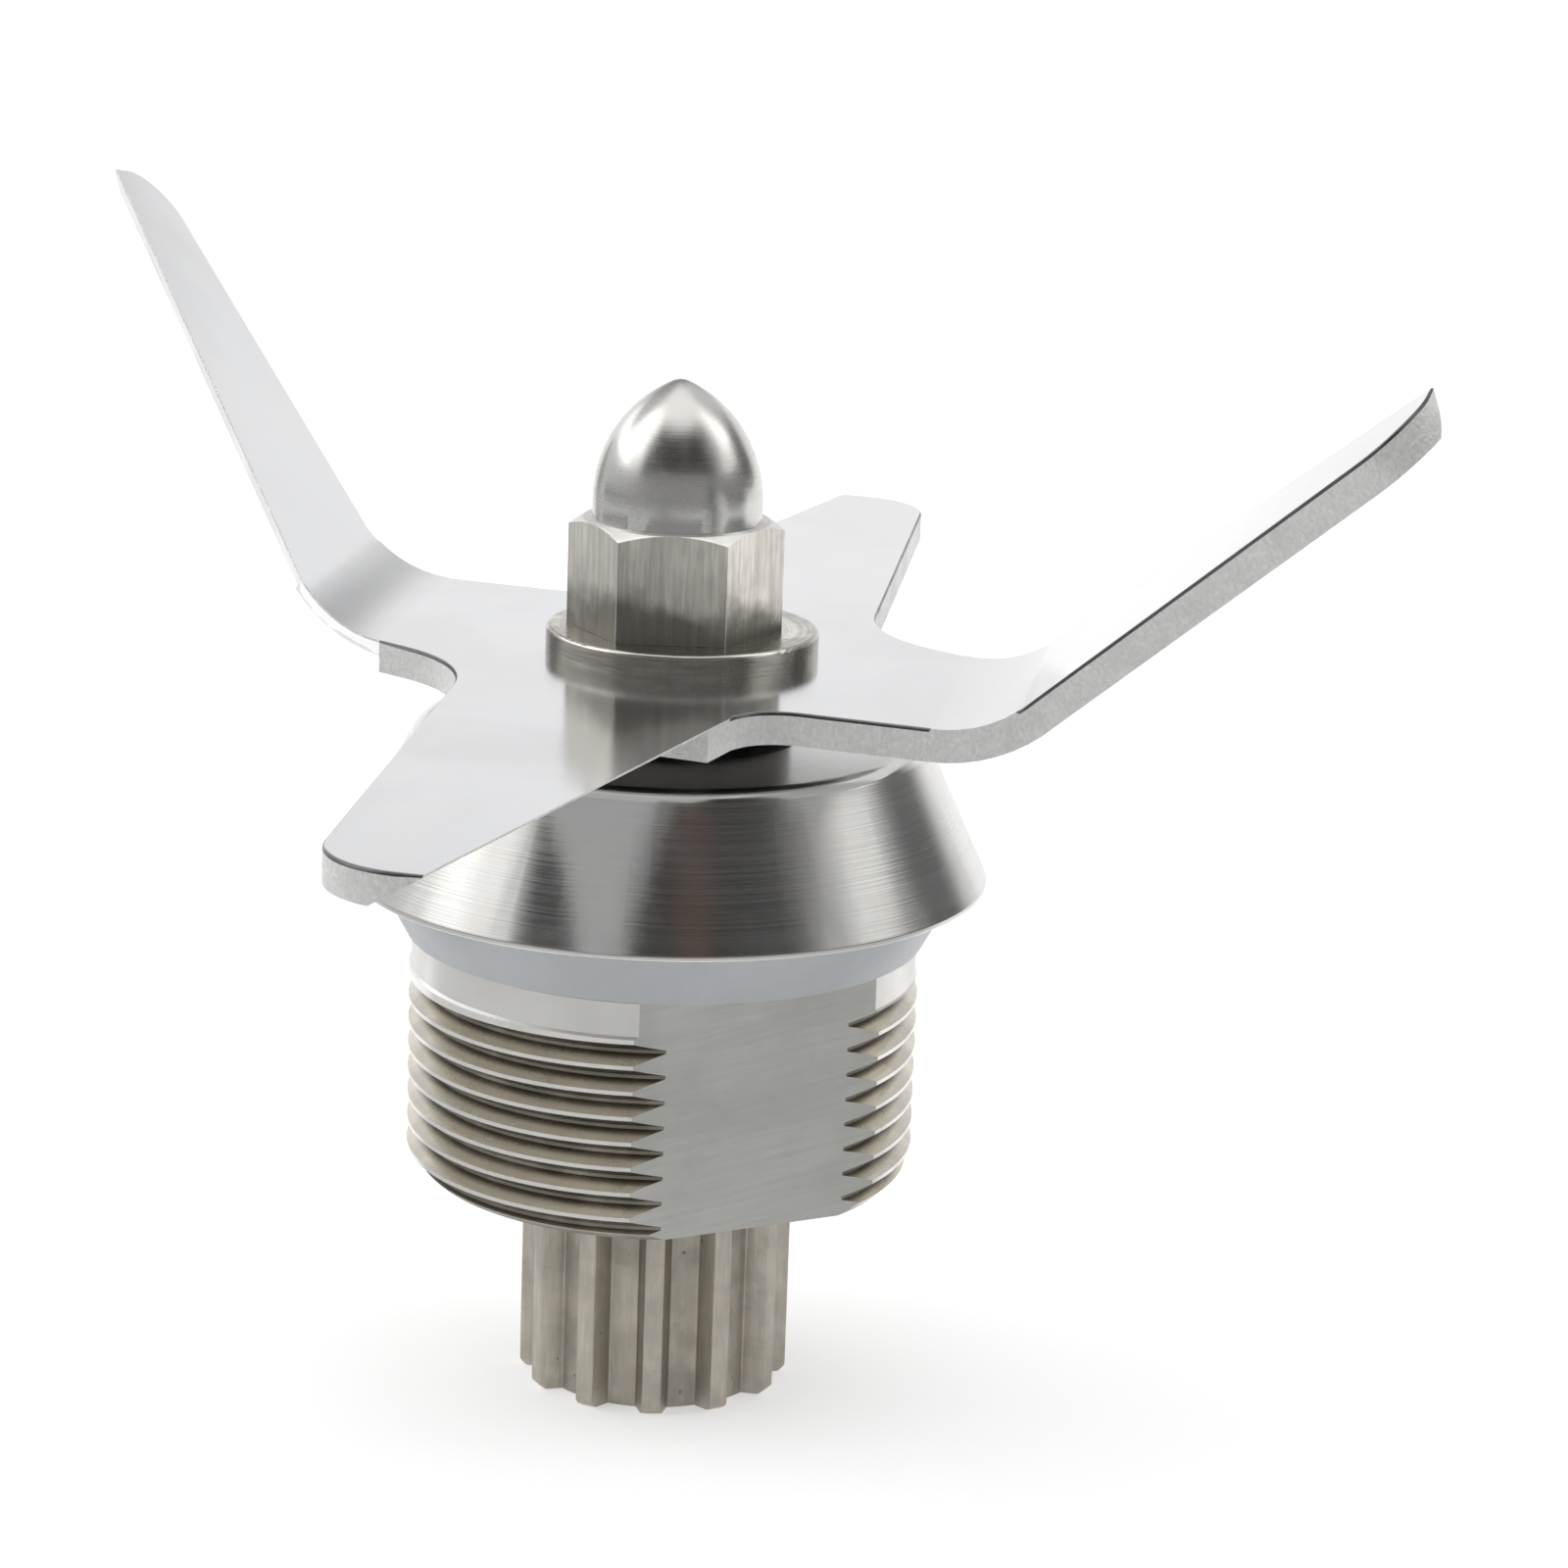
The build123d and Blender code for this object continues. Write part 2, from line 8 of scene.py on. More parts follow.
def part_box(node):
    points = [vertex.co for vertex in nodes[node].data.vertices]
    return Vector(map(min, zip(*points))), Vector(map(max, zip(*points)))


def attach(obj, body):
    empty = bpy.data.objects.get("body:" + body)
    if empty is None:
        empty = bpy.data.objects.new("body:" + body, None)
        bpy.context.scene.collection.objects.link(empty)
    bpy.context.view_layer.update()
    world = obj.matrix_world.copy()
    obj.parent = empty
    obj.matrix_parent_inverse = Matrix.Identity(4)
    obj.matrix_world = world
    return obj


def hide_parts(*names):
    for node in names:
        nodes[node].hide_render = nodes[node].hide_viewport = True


bl_info = {
    "name": "Blender Blade Assembly",
    "version": (1, 0, 0),
    "blender": (4, 5, 0),
    "location": "3D View > Sidebar > Blade Assembly",
    "description": "Eases the edges of a blender blade assembly and finishes its steel and rubber",
    "category": "Object",
}

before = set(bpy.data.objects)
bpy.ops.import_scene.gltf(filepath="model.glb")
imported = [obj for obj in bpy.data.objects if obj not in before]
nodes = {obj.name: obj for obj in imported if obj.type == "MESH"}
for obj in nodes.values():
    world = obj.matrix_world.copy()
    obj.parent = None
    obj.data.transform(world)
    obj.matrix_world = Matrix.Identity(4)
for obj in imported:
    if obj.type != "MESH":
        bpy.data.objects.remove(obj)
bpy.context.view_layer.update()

MM = 0.001

gasket_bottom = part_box("jar_gasket")[0].z
washer_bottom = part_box("nut_washer")[0].z
nut_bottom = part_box("cap_nut")[0].z
gear_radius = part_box("drive_gear")[1].x
housing_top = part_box("bearing_housing")[1].z

# Each ring of the room is a row of directions, in degrees to the right of the camera, with the
# brightness or the colour that is seen there.
BROWN_CURTAIN = (0.105, 0.074, 0.064)
LEVEL_RING = (
    (-180, 1.06), (-140, 1.06), (-128, 0.70), (-90, 0.55), (-60, 0.42), (-45, 0.36), (-10, 0.34),
    (20, 0.34), (45, 0.34), (60, 0.30), (90, 0.28), (108, 0.14), (126, 0.14), (136, 0.80), (142, 1.06),
    (180, 1.06),
)
MIDDLE_RING = (
    (-180, 0.42), (-160, 0.42), (-150, 0.9), (-138, 2.0), (-86, 2.2), (-80, 1.3), (-62, 1.05),
    (-57, 0.02), (-49, 0.02), (-44, 0.08), (-24, 0.05), (-16, 0.04), (3, 0.04), (5, BROWN_CURTAIN),
    (18, BROWN_CURTAIN), (20, 0.03), (50, 0.04), (58, 0.24), (63, 0.45), (72, 0.76), (80, 1.15),
    (92, 1.25), (101, 0.95), (108, 0.25), (126, 0.10), (137, 0.45), (150, 0.90), (160, 0.42),
    (180, 0.42),
)
HIGH_RING = (
    (-180, 0.36), (-150, 0.40), (-138, 0.60), (-115, 0.60), (-107, 2.3), (-68, 2.0), (-60, 0.6),
    (-55, 0.04), (-49, 0.04), (-44, 0.06), (-24, 0.05), (-16, 0.05), (3, 0.05), (5, BROWN_CURTAIN),
    (18, BROWN_CURTAIN), (20, 0.04), (46, 0.05), (58, 0.24), (68, 0.44), (79, 0.85), (88, 1.8),
    (105, 2.3), (113, 0.95), (125, 0.52), (140, 0.80), (156, 0.80), (164, 0.36), (180, 0.36),
)

# Degrees over the horizon between which a ring or the top takes over, and the brown turns grey.
MIDDLE_START = (16.0, 19.5)
HIGH_START = (27.0, 32.0)
TOP_START = (57.0, 74.0)
BROWN_END = (40.0, 47.0)

# In front the level ring reaches higher, by this much of a direction's Z: in full where its Y is
# below the first number, and not at all where it is above the second.
FRONT_RISE = 0.115
FRONT_REACH = (-0.85, -0.45)

CLOTH_STEPS = 40
CLOTH_LIFT = 1.0 * MM
ARC_STEPS = 10
RING_STEPS = 180

# A merged copy's faces are joined where they turn by less than this, in degrees.
FLAT_WITHIN = 0.4
# How much a face's normal may rise where the face counts as upright, and from where it is a chamfer.
UPRIGHT = 0.2
CHAMFER_LEAN = 0.3

# Distances, and an area, that tell one face of the housing, the blade or the nut from another.
ON_SURFACE = 0.03 * MM
FLAT_TOP = 0.002 * MM
WALL_MARGIN = 0.5 * MM
DOME_MARGIN = 0.1 * MM
LAND_WIDTH = 0.5 * MM
BEND_HEIGHT = 2.0 * MM
BEVEL_AREA = 40.0 * MM * MM
# A little more than the reach of the cone's rounding is searched for its points.
EDGE_SPARE = 1.05

# How a blade's face lies to the sheet, as the cosine between the two.
TORN_BELOW = 0.45
GROUND_BELOW = 0.95
TOP_FROM = 0.80
# From this lean up to TOP_FROM the roll-over is painted dark: a painted reflection of the dark room.
ROLL_OVER_PAINTED_DARK_FROM = -0.10
# The corner in degrees along a sheared outline, and which way the left bent arm's top faces.
SHEARED_CORNER = (60.0, 120.0)
ARM_FACING = (0.70, -0.12, 0.70)

# Where the dirty hollows, darkened further as painted shade, are darkest and where they end: distances
# outside the thread's root and inside its crest, heights over the nut's foot for its painted shade, and
# shares of the gear's radius.
THREAD_DIRT_AND_SHADE = (0.05 * MM, 0.40 * MM)
NUT_FOOT_SHADE = (0.8 * MM, 3.0 * MM)
GEAR_DIRT_AND_SHADE = (0.74, 0.92)


def length(label, note, value):
    return bpy.props.FloatProperty(
        name=label, description=note, default=value, min=0.0, precision=5,
        subtype="DISTANCE", unit="LENGTH"
    )


def turn(label, note, degrees):
    return bpy.props.FloatProperty(
        name=label, description=note, default=math.radians(degrees), subtype="ANGLE", unit="ROTATION"
    )


def share(label, note, value):
    return bpy.props.FloatProperty(
        name=label, description=note, default=value, min=0.0, soft_max=2.0, subtype="FACTOR"
    )


def tone(label, note, value):
    return bpy.props.FloatVectorProperty(
        name=label, description=note, default=value, size=3, min=0.0, max=1.0, subtype="COLOR"
    )


class BladeUnitSizes(bpy.types.PropertyGroup):
    thread_radius: length("Thread radius", "Crest radius of the jar thread", 15.0 * MM)
    thread_root: length("Thread root", "Root radius of the jar thread", 14.08 * MM)
    neck_bottom: length("Neck bottom", "Height where the thread gives way to the plain neck", 25.4 * MM)
    flat_distance: length("Flat distance", "Distance of the two wrench flats from the axis", 12.87 * MM)
    flat_turn: turn("Flat turn", "Direction that the front wrench flat faces", -65.0)
    sheared_edge: length("Sheared edge", "Roll-over along the edges of the blade", 0.19 * MM)
    dome_radius: length("Dome radius", "Radius of the foot of the cap nut's dome", 4.9 * MM)
    machined_edge: length("Machined edge", "Small break of the machined edges", 0.08 * MM)
    cone_corner: length("Cone corner", "Radius of the cone where its side and top would meet", 14.85 * MM)
    cone_slope: turn("Cone slope", "Lean of the side of the cone from upright", 25.035)
    cone_round: length("Cone round", "Rounding of the upper edge of the cone in the CAD", 0.35 * MM)
    worn_round: length("Worn round", "Rounding of the upper edge of the cone after polishing", 1.00 * MM)
    # The shoulder under the gasket is painted dark: a painted shadow.
    shadowed_shoulder_height: length("Shoulder height", "Height of the shoulder under the gasket that is painted dark as a shadow", 0.16 * MM)
    nut_sides: length("Nut sides", "Height of the six sides of the nut", 6.3 * MM)
    gear_edge: length("Gear edge", "Rounding of the edges of the sintered gear", 0.16 * MM)


class BladeUnitColours(bpy.types.PropertyGroup):
    rolled_steel: tone("Rolled steel", "Bright rolled faces of the blade", (0.71, 0.715, 0.73))
    sheared_steel: tone("Sheared steel", "Torn faces along the outline of the blade", (0.97, 0.97, 0.96))
    ground_steel: tone("Ground steel", "Ground cutting bevels of the blade", (0.70, 0.70, 0.71))
    # Near black, used for painted light: the dark reflection on the blade's roll-over and the shadow on
    # the shoulder under the gasket.
    painted_dark_steel: tone("Painted dark steel", "Dark reflection painted on the roll-over along the blade's outline, and shadow painted under the gasket", (0.14, 0.14, 0.14))
    dome_steel: tone("Dome steel", "Smooth dome of the cap nut", (0.66, 0.655, 0.64))
    # Near white, lighter than the nut's other steel: a painted highlight on the chamfer and on the eased
    # upright edges.
    chamfer_highlight_steel: tone("Chamfer steel", "Chamfer at the top of the nut and its eased upright edges, lighter as painted highlight", (0.97, 0.97, 0.95))
    machined_steel: tone("Machined steel", "Six sides of the nut", (0.95, 0.92, 0.85))
    washer_steel: tone("Washer steel", "Top of the stamped washer under the nut", (0.80, 0.78, 0.74))
    # Darker than the washer's top: painted shade on its upright rim.
    shaded_washer_side: tone("Shaded washer side", "Rim of the washer, darker than its top as painted shade", (0.50, 0.48, 0.44))
    turned_steel: tone("Turned steel", "Turned cone and flange of the housing", (0.68, 0.68, 0.67))
    thread_steel: tone("Thread steel", "Cut flanks of the thread", (0.66, 0.63, 0.56))
    # Lighter than the cut thread: rubbed crests, and also a painted highlight on the crests and on the
    # cone's rounded rim.
    crest_and_rim_highlight_steel: tone("Crest steel", "Rubbed crests of the thread and the cone's rounded rim, lighter also as painted highlight", (0.80, 0.795, 0.77))
    neck_steel: tone("Neck steel", "Plain neck between the thread and the gasket", (0.76, 0.755, 0.735))
    milled_steel: tone("Milled steel", "Two milled wrench flats", (0.58, 0.58, 0.56))
    sintered_steel: tone("Sintered steel", "Pressed and sintered drive gear", (0.56, 0.53, 0.465))
    bearing_steel: tone("Bearing steel", "Polished rings, balls and shields", (0.62, 0.62, 0.63))
    # On the hub this dark tone is painted shade under the blade; on the spring rings it is their own dark
    # steel.
    dark_steel_and_hub_shade: tone("Dark steel", "Hub between the blade and the housing, dark as painted shade, and the dark spring rings", (0.20, 0.19, 0.18))
    gasket_silicone: tone("Gasket silicone", "Milky gasket against the jar", (0.68, 0.715, 0.745))
    seal_rubber: tone("Seal rubber", "Black rubber of the shaft seal", (0.018, 0.018, 0.019))


class StudioSettings(bpy.types.PropertyGroup):
    camera_place: bpy.props.FloatVectorProperty(
        name="Camera place", description="Where the camera stands", default=(0.0, -0.2432, 0.1002),
        size=3, subtype="TRANSLATION", unit="LENGTH"
    )
    camera_yaw: turn("Camera yaw", "Turn of the view to the right", 1.94)
    camera_pitch: turn("Camera pitch", "Tilt of the view downwards", 14.63)
    camera_roll: turn("Camera roll", "Roll of the view", 2.18)
    lens: bpy.props.FloatProperty(
        name="Lens", description="Focal length in millimetres", default=98.8, min=1.0
    )
    shift_right: bpy.props.FloatProperty(
        name="Shift right", description="Sideways shift of the frame", default=-0.0169
    )
    shift_up: bpy.props.FloatProperty(
        name="Shift up", description="Upward shift of the frame", default=-0.00125
    )
    floor_half: length("Floor half width", "Half the width of the floor", 2.5)
    floor_tone: share("Floor tone", "How pale the floor is", 0.82)
    floor_glow: share("Floor glow", "What the floor adds to reach white behind the object", 0.50)
    cloth_tone: share("Cloth tone", "How pale the cloth is that the metal reflects from in front", 0.88)
    cloth_dark: share("Cloth dark", "How pale the cloth is where it lies in the dark", 0.03)
    cloth_near: length("Cloth near edge", "How far the cloth stays from the object", 34.0 * MM)
    cloth_far: length("Cloth far edge", "How far the cloth reaches", 2.4)
    cloth_fade: length("Cloth fade", "Where the cloth starts to lie in the dark", 0.32)
    cloth_left: turn("Cloth left", "Where the cloth starts, to the left of the camera", -120.0)
    cloth_right: turn("Cloth right", "Where the cloth ends, to the right of the camera", 104.0)
    room_light: share("Room light", "Brightness of the studio round the object", 1.0)
    top_light: share("Top light", "Brightness of the overhead cloth", 1.3)


def grey(level):
    return (level, level, level)


def darker(colour, loss):
    """The colour with a share of its light taken away."""
    return tuple(value * (1.0 - loss) for value in colour)


def new_node(tree, kind, place, **values):
    node = tree.nodes.new(kind)
    node.location = place
    for name, value in values.items():
        setattr(node, name, value)
    return node


def math_node(tree, operation, place, first, second=None):
    node = new_node(tree, "ShaderNodeMath", place, operation=operation)
    for socket, value in zip(node.inputs, (first, second)):
        if value is None:
            continue
        if isinstance(value, (int, float)):
            socket.default_value = value
        else:
            tree.links.new(value, socket)
    return node.outputs[0]


def mix_colour(tree, place, factor, first, second):
    node = new_node(tree, "ShaderNodeMix", place, data_type="RGBA")
    for socket, value in ((node.inputs[0], factor), (node.inputs[6], first), (node.inputs[7], second)):
        if isinstance(value, bpy.types.NodeSocket):
            tree.links.new(value, socket)
        else:
            socket.default_value = (*value, 1.0)
    return node.outputs[2]


def map_range(tree, place, value, low, high, new_low, new_high):
    """Turns the value's range into another smoothly, and keeps it between the new ends."""
    node = new_node(tree, "ShaderNodeMapRange", place, interpolation_type="SMOOTHSTEP")
    tree.links.new(value, node.inputs["Value"])
    for name, number in (("From Min", low), ("From Max", high), ("To Min", new_low), ("To Max", new_high)):
        if isinstance(number, (int, float)):
            node.inputs[name].default_value = number
        else:
            tree.links.new(number, node.inputs[name])
    return node.outputs["Result"]


def split_vector(tree, place, vector):
    node = new_node(tree, "ShaderNodeSeparateXYZ", place)
    tree.links.new(vector, node.inputs[0])
    return node.outputs


def vector_length(tree, place, vector):
    node = new_node(tree, "ShaderNodeVectorMath", place, operation="LENGTH")
    tree.links.new(vector, node.inputs[0])
    return node.outputs["Value"]


def scaled_vector(tree, vector, size, place):
    """The vector divided by a size, so that one unit of noise covers that size."""
    inverse = math_node(tree, "DIVIDE", place, 1.0, size)
    scale = new_node(tree, "ShaderNodeVectorMath", (place[0] + 180, place[1]), operation="SCALE")
    tree.links.new(vector, scale.inputs[0])
    tree.links.new(inverse, scale.inputs["Scale"])
    return scale.outputs[0]


def add_noise(tree, place, vector, scale=1.0, detail=4.0, roughness=0.5, **values):
    node = new_node(tree, "ShaderNodeTexNoise", place, **values)
    tree.links.new(vector, node.inputs["Vector"])
    node.inputs["Scale"].default_value = scale
    node.inputs["Detail"].default_value = detail
    node.inputs["Roughness"].default_value = roughness
    return node


def start_group(name, inputs, output):
    group = bpy.data.node_groups.new(name, "ShaderNodeTree")
    group.interface.new_socket(name="Vector", in_out="INPUT", socket_type="NodeSocketVector")
    for label, value in inputs:
        socket = group.interface.new_socket(name=label, in_out="INPUT", socket_type="NodeSocketFloat")
        socket.default_value = value
    group.interface.new_socket(name=output, in_out="OUTPUT", socket_type="NodeSocketFloat")
    entry = new_node(group, "NodeGroupInput", (-900, 0))
    leave = new_node(group, "NodeGroupOutput", (900, 0))
    return group, entry.outputs, leave.inputs[output]


def turning_rings_group():
    """Fine rings left by a lathe tool, round the vertical axis."""
    group, entry, leave = start_group("turning_rings", [("Ring Pitch", 0.00012)], "Rings")
    x, y, z = split_vector(group, (-720, 60), entry["Vector"])
    across = math_node(group, "SQRT", (-360, 120), math_node(
        group, "ADD", (-540, 120), math_node(group, "MULTIPLY", (-700, 260), x, x),
        math_node(group, "MULTIPLY", (-700, 160), y, y)))
    place = new_node(group, "ShaderNodeCombineXYZ", (0, 60))
    group.links.new(math_node(group, "DIVIDE", (-180, 160), across, entry["Ring Pitch"]), place.inputs[0])
    group.links.new(math_node(group, "DIVIDE", (-180, 20), z, entry["Ring Pitch"]), place.inputs[1])
    drift = 25.0
    group.links.new(math_node(group, "MULTIPLY", (-180, -120), x, drift), place.inputs[2])
    noise = add_noise(group, (240, 60), place.outputs[0], detail=3.0, roughness=0.6, noise_dimensions="4D")
    group.links.new(math_node(group, "MULTIPLY", (0, -160), y, drift), noise.inputs["W"])
    group.links.new(map_range(group, (520, 60), noise.outputs[0], 0.3, 0.7, 0.0, 1.0), leave)
    return group


def smudges_group():
    """Broad soft patches: handling marks, uneven polish and faint stains."""
    group, entry, leave = start_group("smudges", [("Patch Size", 0.006), ("Sharpness", 0.5)], "Patches")
    vector = scaled_vector(group, entry["Vector"], entry["Patch Size"], (-720, 60))
    noise = add_noise(group, (-300, 60), vector, detail=5.0, roughness=0.62)
    noise.inputs["Distortion"].default_value = 0.4
    softness = math_node(group, "SUBTRACT", (-500, -200), 1.0, entry["Sharpness"])
    half = math_node(group, "MULTIPLY", (-300, -200), softness, 0.35)
    low = math_node(group, "SUBTRACT", (0, -160), 0.5, half)
    high = math_node(group, "ADD", (0, -320), 0.5, half)
    group.links.new(map_range(group, (300, 60), noise.outputs[0], low, high, 0.0, 1.0), leave)
    return group


def drawn_grain_group():
    """Fine straight lines along the first axis of the vector, as rolling, grinding and milling leave."""
    group, entry, leave = start_group(
        "drawn_grain", [("Line Length", 0.006), ("Line Width", 0.00008)], "Lines")
    point = split_vector(group, (-720, 60), entry["Vector"])
    place = new_node(group, "ShaderNodeCombineXYZ", (-240, 60))
    for axis, size in enumerate(("Line Length", "Line Width", "Line Width")):
        steps = math_node(group, "DIVIDE", (-480, 200 - 160 * axis), point[axis], entry[size])
        group.links.new(steps, place.inputs[axis])
    noise = add_noise(group, (0, 60), place.outputs[0], roughness=0.65)
    group.links.new(map_range(group, (300, 60), noise.outputs[0], 0.28, 0.72, 0.0, 1.0), leave)
    return group


def pits_group():
    """Scattered small pits and specks."""
    group, entry, leave = start_group(
        "pits", [("Spacing", 0.0009), ("Pit Width", 0.25), ("Pit Share", 0.3)], "Pits")
    vector = scaled_vector(group, entry["Vector"], entry["Spacing"], (-720, 60))
    cells = new_node(group, "ShaderNodeTexVoronoi", (-300, 60))
    group.links.new(vector, cells.inputs["Vector"])
    cells.inputs["Scale"].default_value = 1.0
    chance = split_vector(group, (-60, -120), cells.outputs["Color"])
    chosen = math_node(group, "LESS_THAN", (140, -120), chance[0], entry["Pit Share"])
    width = math_node(group, "MULTIPLY", (140, -300), chance[1], entry["Pit Width"])
    inside = map_range(group, (360, 60), cells.outputs["Distance"], 0.0, width, 1.0, 0.0)
    group.links.new(math_node(group, "MULTIPLY", (620, 60), inside, chosen), leave)
    return group


def hollow_dirt_and_shade_group():
    """Dirty hollows of a round part, darkened further as painted shade: full at one distance from its
    axis, none further out.
    """
    group, entry, leave = start_group(
        "hollow_dirt_and_shade", [("Deep Radius", 0.0141), ("Clean Radius", 0.0148)], "Dirt And Shade")
    flat = new_node(group, "ShaderNodeVectorMath", (-700, 60), operation="MULTIPLY")
    flat.inputs[1].default_value = (1.0, 1.0, 0.0)
    group.links.new(entry["Vector"], flat.inputs[0])
    across = vector_length(group, (-520, 60), flat.outputs[0])
    noise = add_noise(group, (-520, -240), entry["Vector"], scale=400.0)
    depth = map_range(group, (-240, 60), across, entry["Deep Radius"], entry["Clean Radius"], 1.0, 0.0)
    broken = map_range(group, (-240, -240), noise.outputs[0], 0.25, 0.6, 0.75, 1.0)
    group.links.new(math_node(group, "MULTIPLY", (200, 0), depth, broken), leave)
    return group


def foot_shade_group():
    """Painted shade at the foot of a part, darker towards the bottom, with a cloudy upper edge."""
    group, entry, leave = start_group(
        "foot_shade", [("Dirty Height", 0.0), ("Clean Height", 0.002)], "Foot Shade")
    height = split_vector(group, (-700, 60), entry["Vector"])[2]
    noise = add_noise(group, (-700, -240), entry["Vector"], scale=260.0)
    centred = math_node(group, "SUBTRACT", (-500, -240), noise.outputs[0], 0.5)
    sway = math_node(group, "MULTIPLY", (-340, -240), centred, 6.0 * MM)
    cloudy = math_node(group, "ADD", (-160, 0), height, sway)
    covered = map_range(group, (60, 0), cloudy, entry["Dirty Height"], entry["Clean Height"], 1.0, 0.0)
    group.links.new(covered, leave)
    return group


def shared_group(name):
    makers = {
        "turning_rings": turning_rings_group,
        "smudges": smudges_group,
        "drawn_grain": drawn_grain_group,
        "pits": pits_group,
        "hollow_dirt_and_shade": hollow_dirt_and_shade_group,
        "foot_shade": foot_shade_group,
    }
    return bpy.data.node_groups.get(name) or makers[name]()


def use_group(tree, name, place, vector, **values):
    node = new_node(tree, "ShaderNodeGroup", place, node_tree=shared_group(name))
    tree.links.new(vector, node.inputs["Vector"])
    for label, value in values.items():
        node.inputs[label.replace("_", " ").title()].default_value = value
    return node.outputs[0]


def cleared_tree(owner):
    """The emptied node tree of a material or a world."""
    owner.use_nodes = True
    owner.node_tree.nodes.clear()
    return owner.node_tree


def start_material(name):
    """A material with its Principled shader and an Object-coordinate vector."""
    material = bpy.data.materials.new(name)
    tree = cleared_tree(material)
    out = new_node(tree, "ShaderNodeOutputMaterial", (900, 0))
    shader = new_node(tree, "ShaderNodeBsdfPrincipled", (600, 0))
    tree.links.new(shader.outputs[0], out.inputs["Surface"])
    coordinates = new_node(tree, "ShaderNodeTexCoord", (-1400, 0))
    return material, tree, shader, coordinates.outputs["Object"]


def lay_over(tree, place, base, colour, mask, cover):
    """The base with another colour over it where the mask is."""
    covered = math_node(tree, "MULTIPLY", (place[0] - 180, place[1] - 220), mask, cover)
    return mix_colour(tree, place, covered, base, colour)


def dull(tree, place, roughness, mask, added):
    """The roughness with some more where the mask is."""
    more = math_node(tree, "MULTIPLY", (place[0] - 180, place[1] - 160), mask, added)
    return math_node(tree, "ADD", place, roughness, more)


def along_the_grain(tree, place, vector, grain_along):
    """The vector turned so that its first axis runs along the grain."""
    lean = new_node(tree, "ShaderNodeVectorRotate", place, rotation_type="AXIS_ANGLE")
    wanted = Vector(grain_along).normalized()
    turning = Vector((1.0, 0.0, 0.0)).rotation_difference(wanted).inverted()
    lean.inputs["Axis"].default_value = turning.axis
    lean.inputs["Angle"].default_value = turning.angle
    tree.links.new(vector, lean.inputs["Vector"])
    return lean.outputs[0]


def add_bump(tree, shader, layers):
    """Bump nodes in a row, one for each (height, depth in metres)."""
    normal = None
    for number, (height, depth) in enumerate(layers):
        bump = new_node(tree, "ShaderNodeBump", (300, -300 - 180 * number))
        bump.inputs["Strength"].default_value = 1.0
        bump.inputs["Distance"].default_value = depth
        tree.links.new(height, bump.inputs["Height"])
        if normal is not None:
            tree.links.new(normal, bump.inputs["Normal"])
        normal = bump.outputs[0]
    tree.links.new(normal, shader.inputs["Normal"])


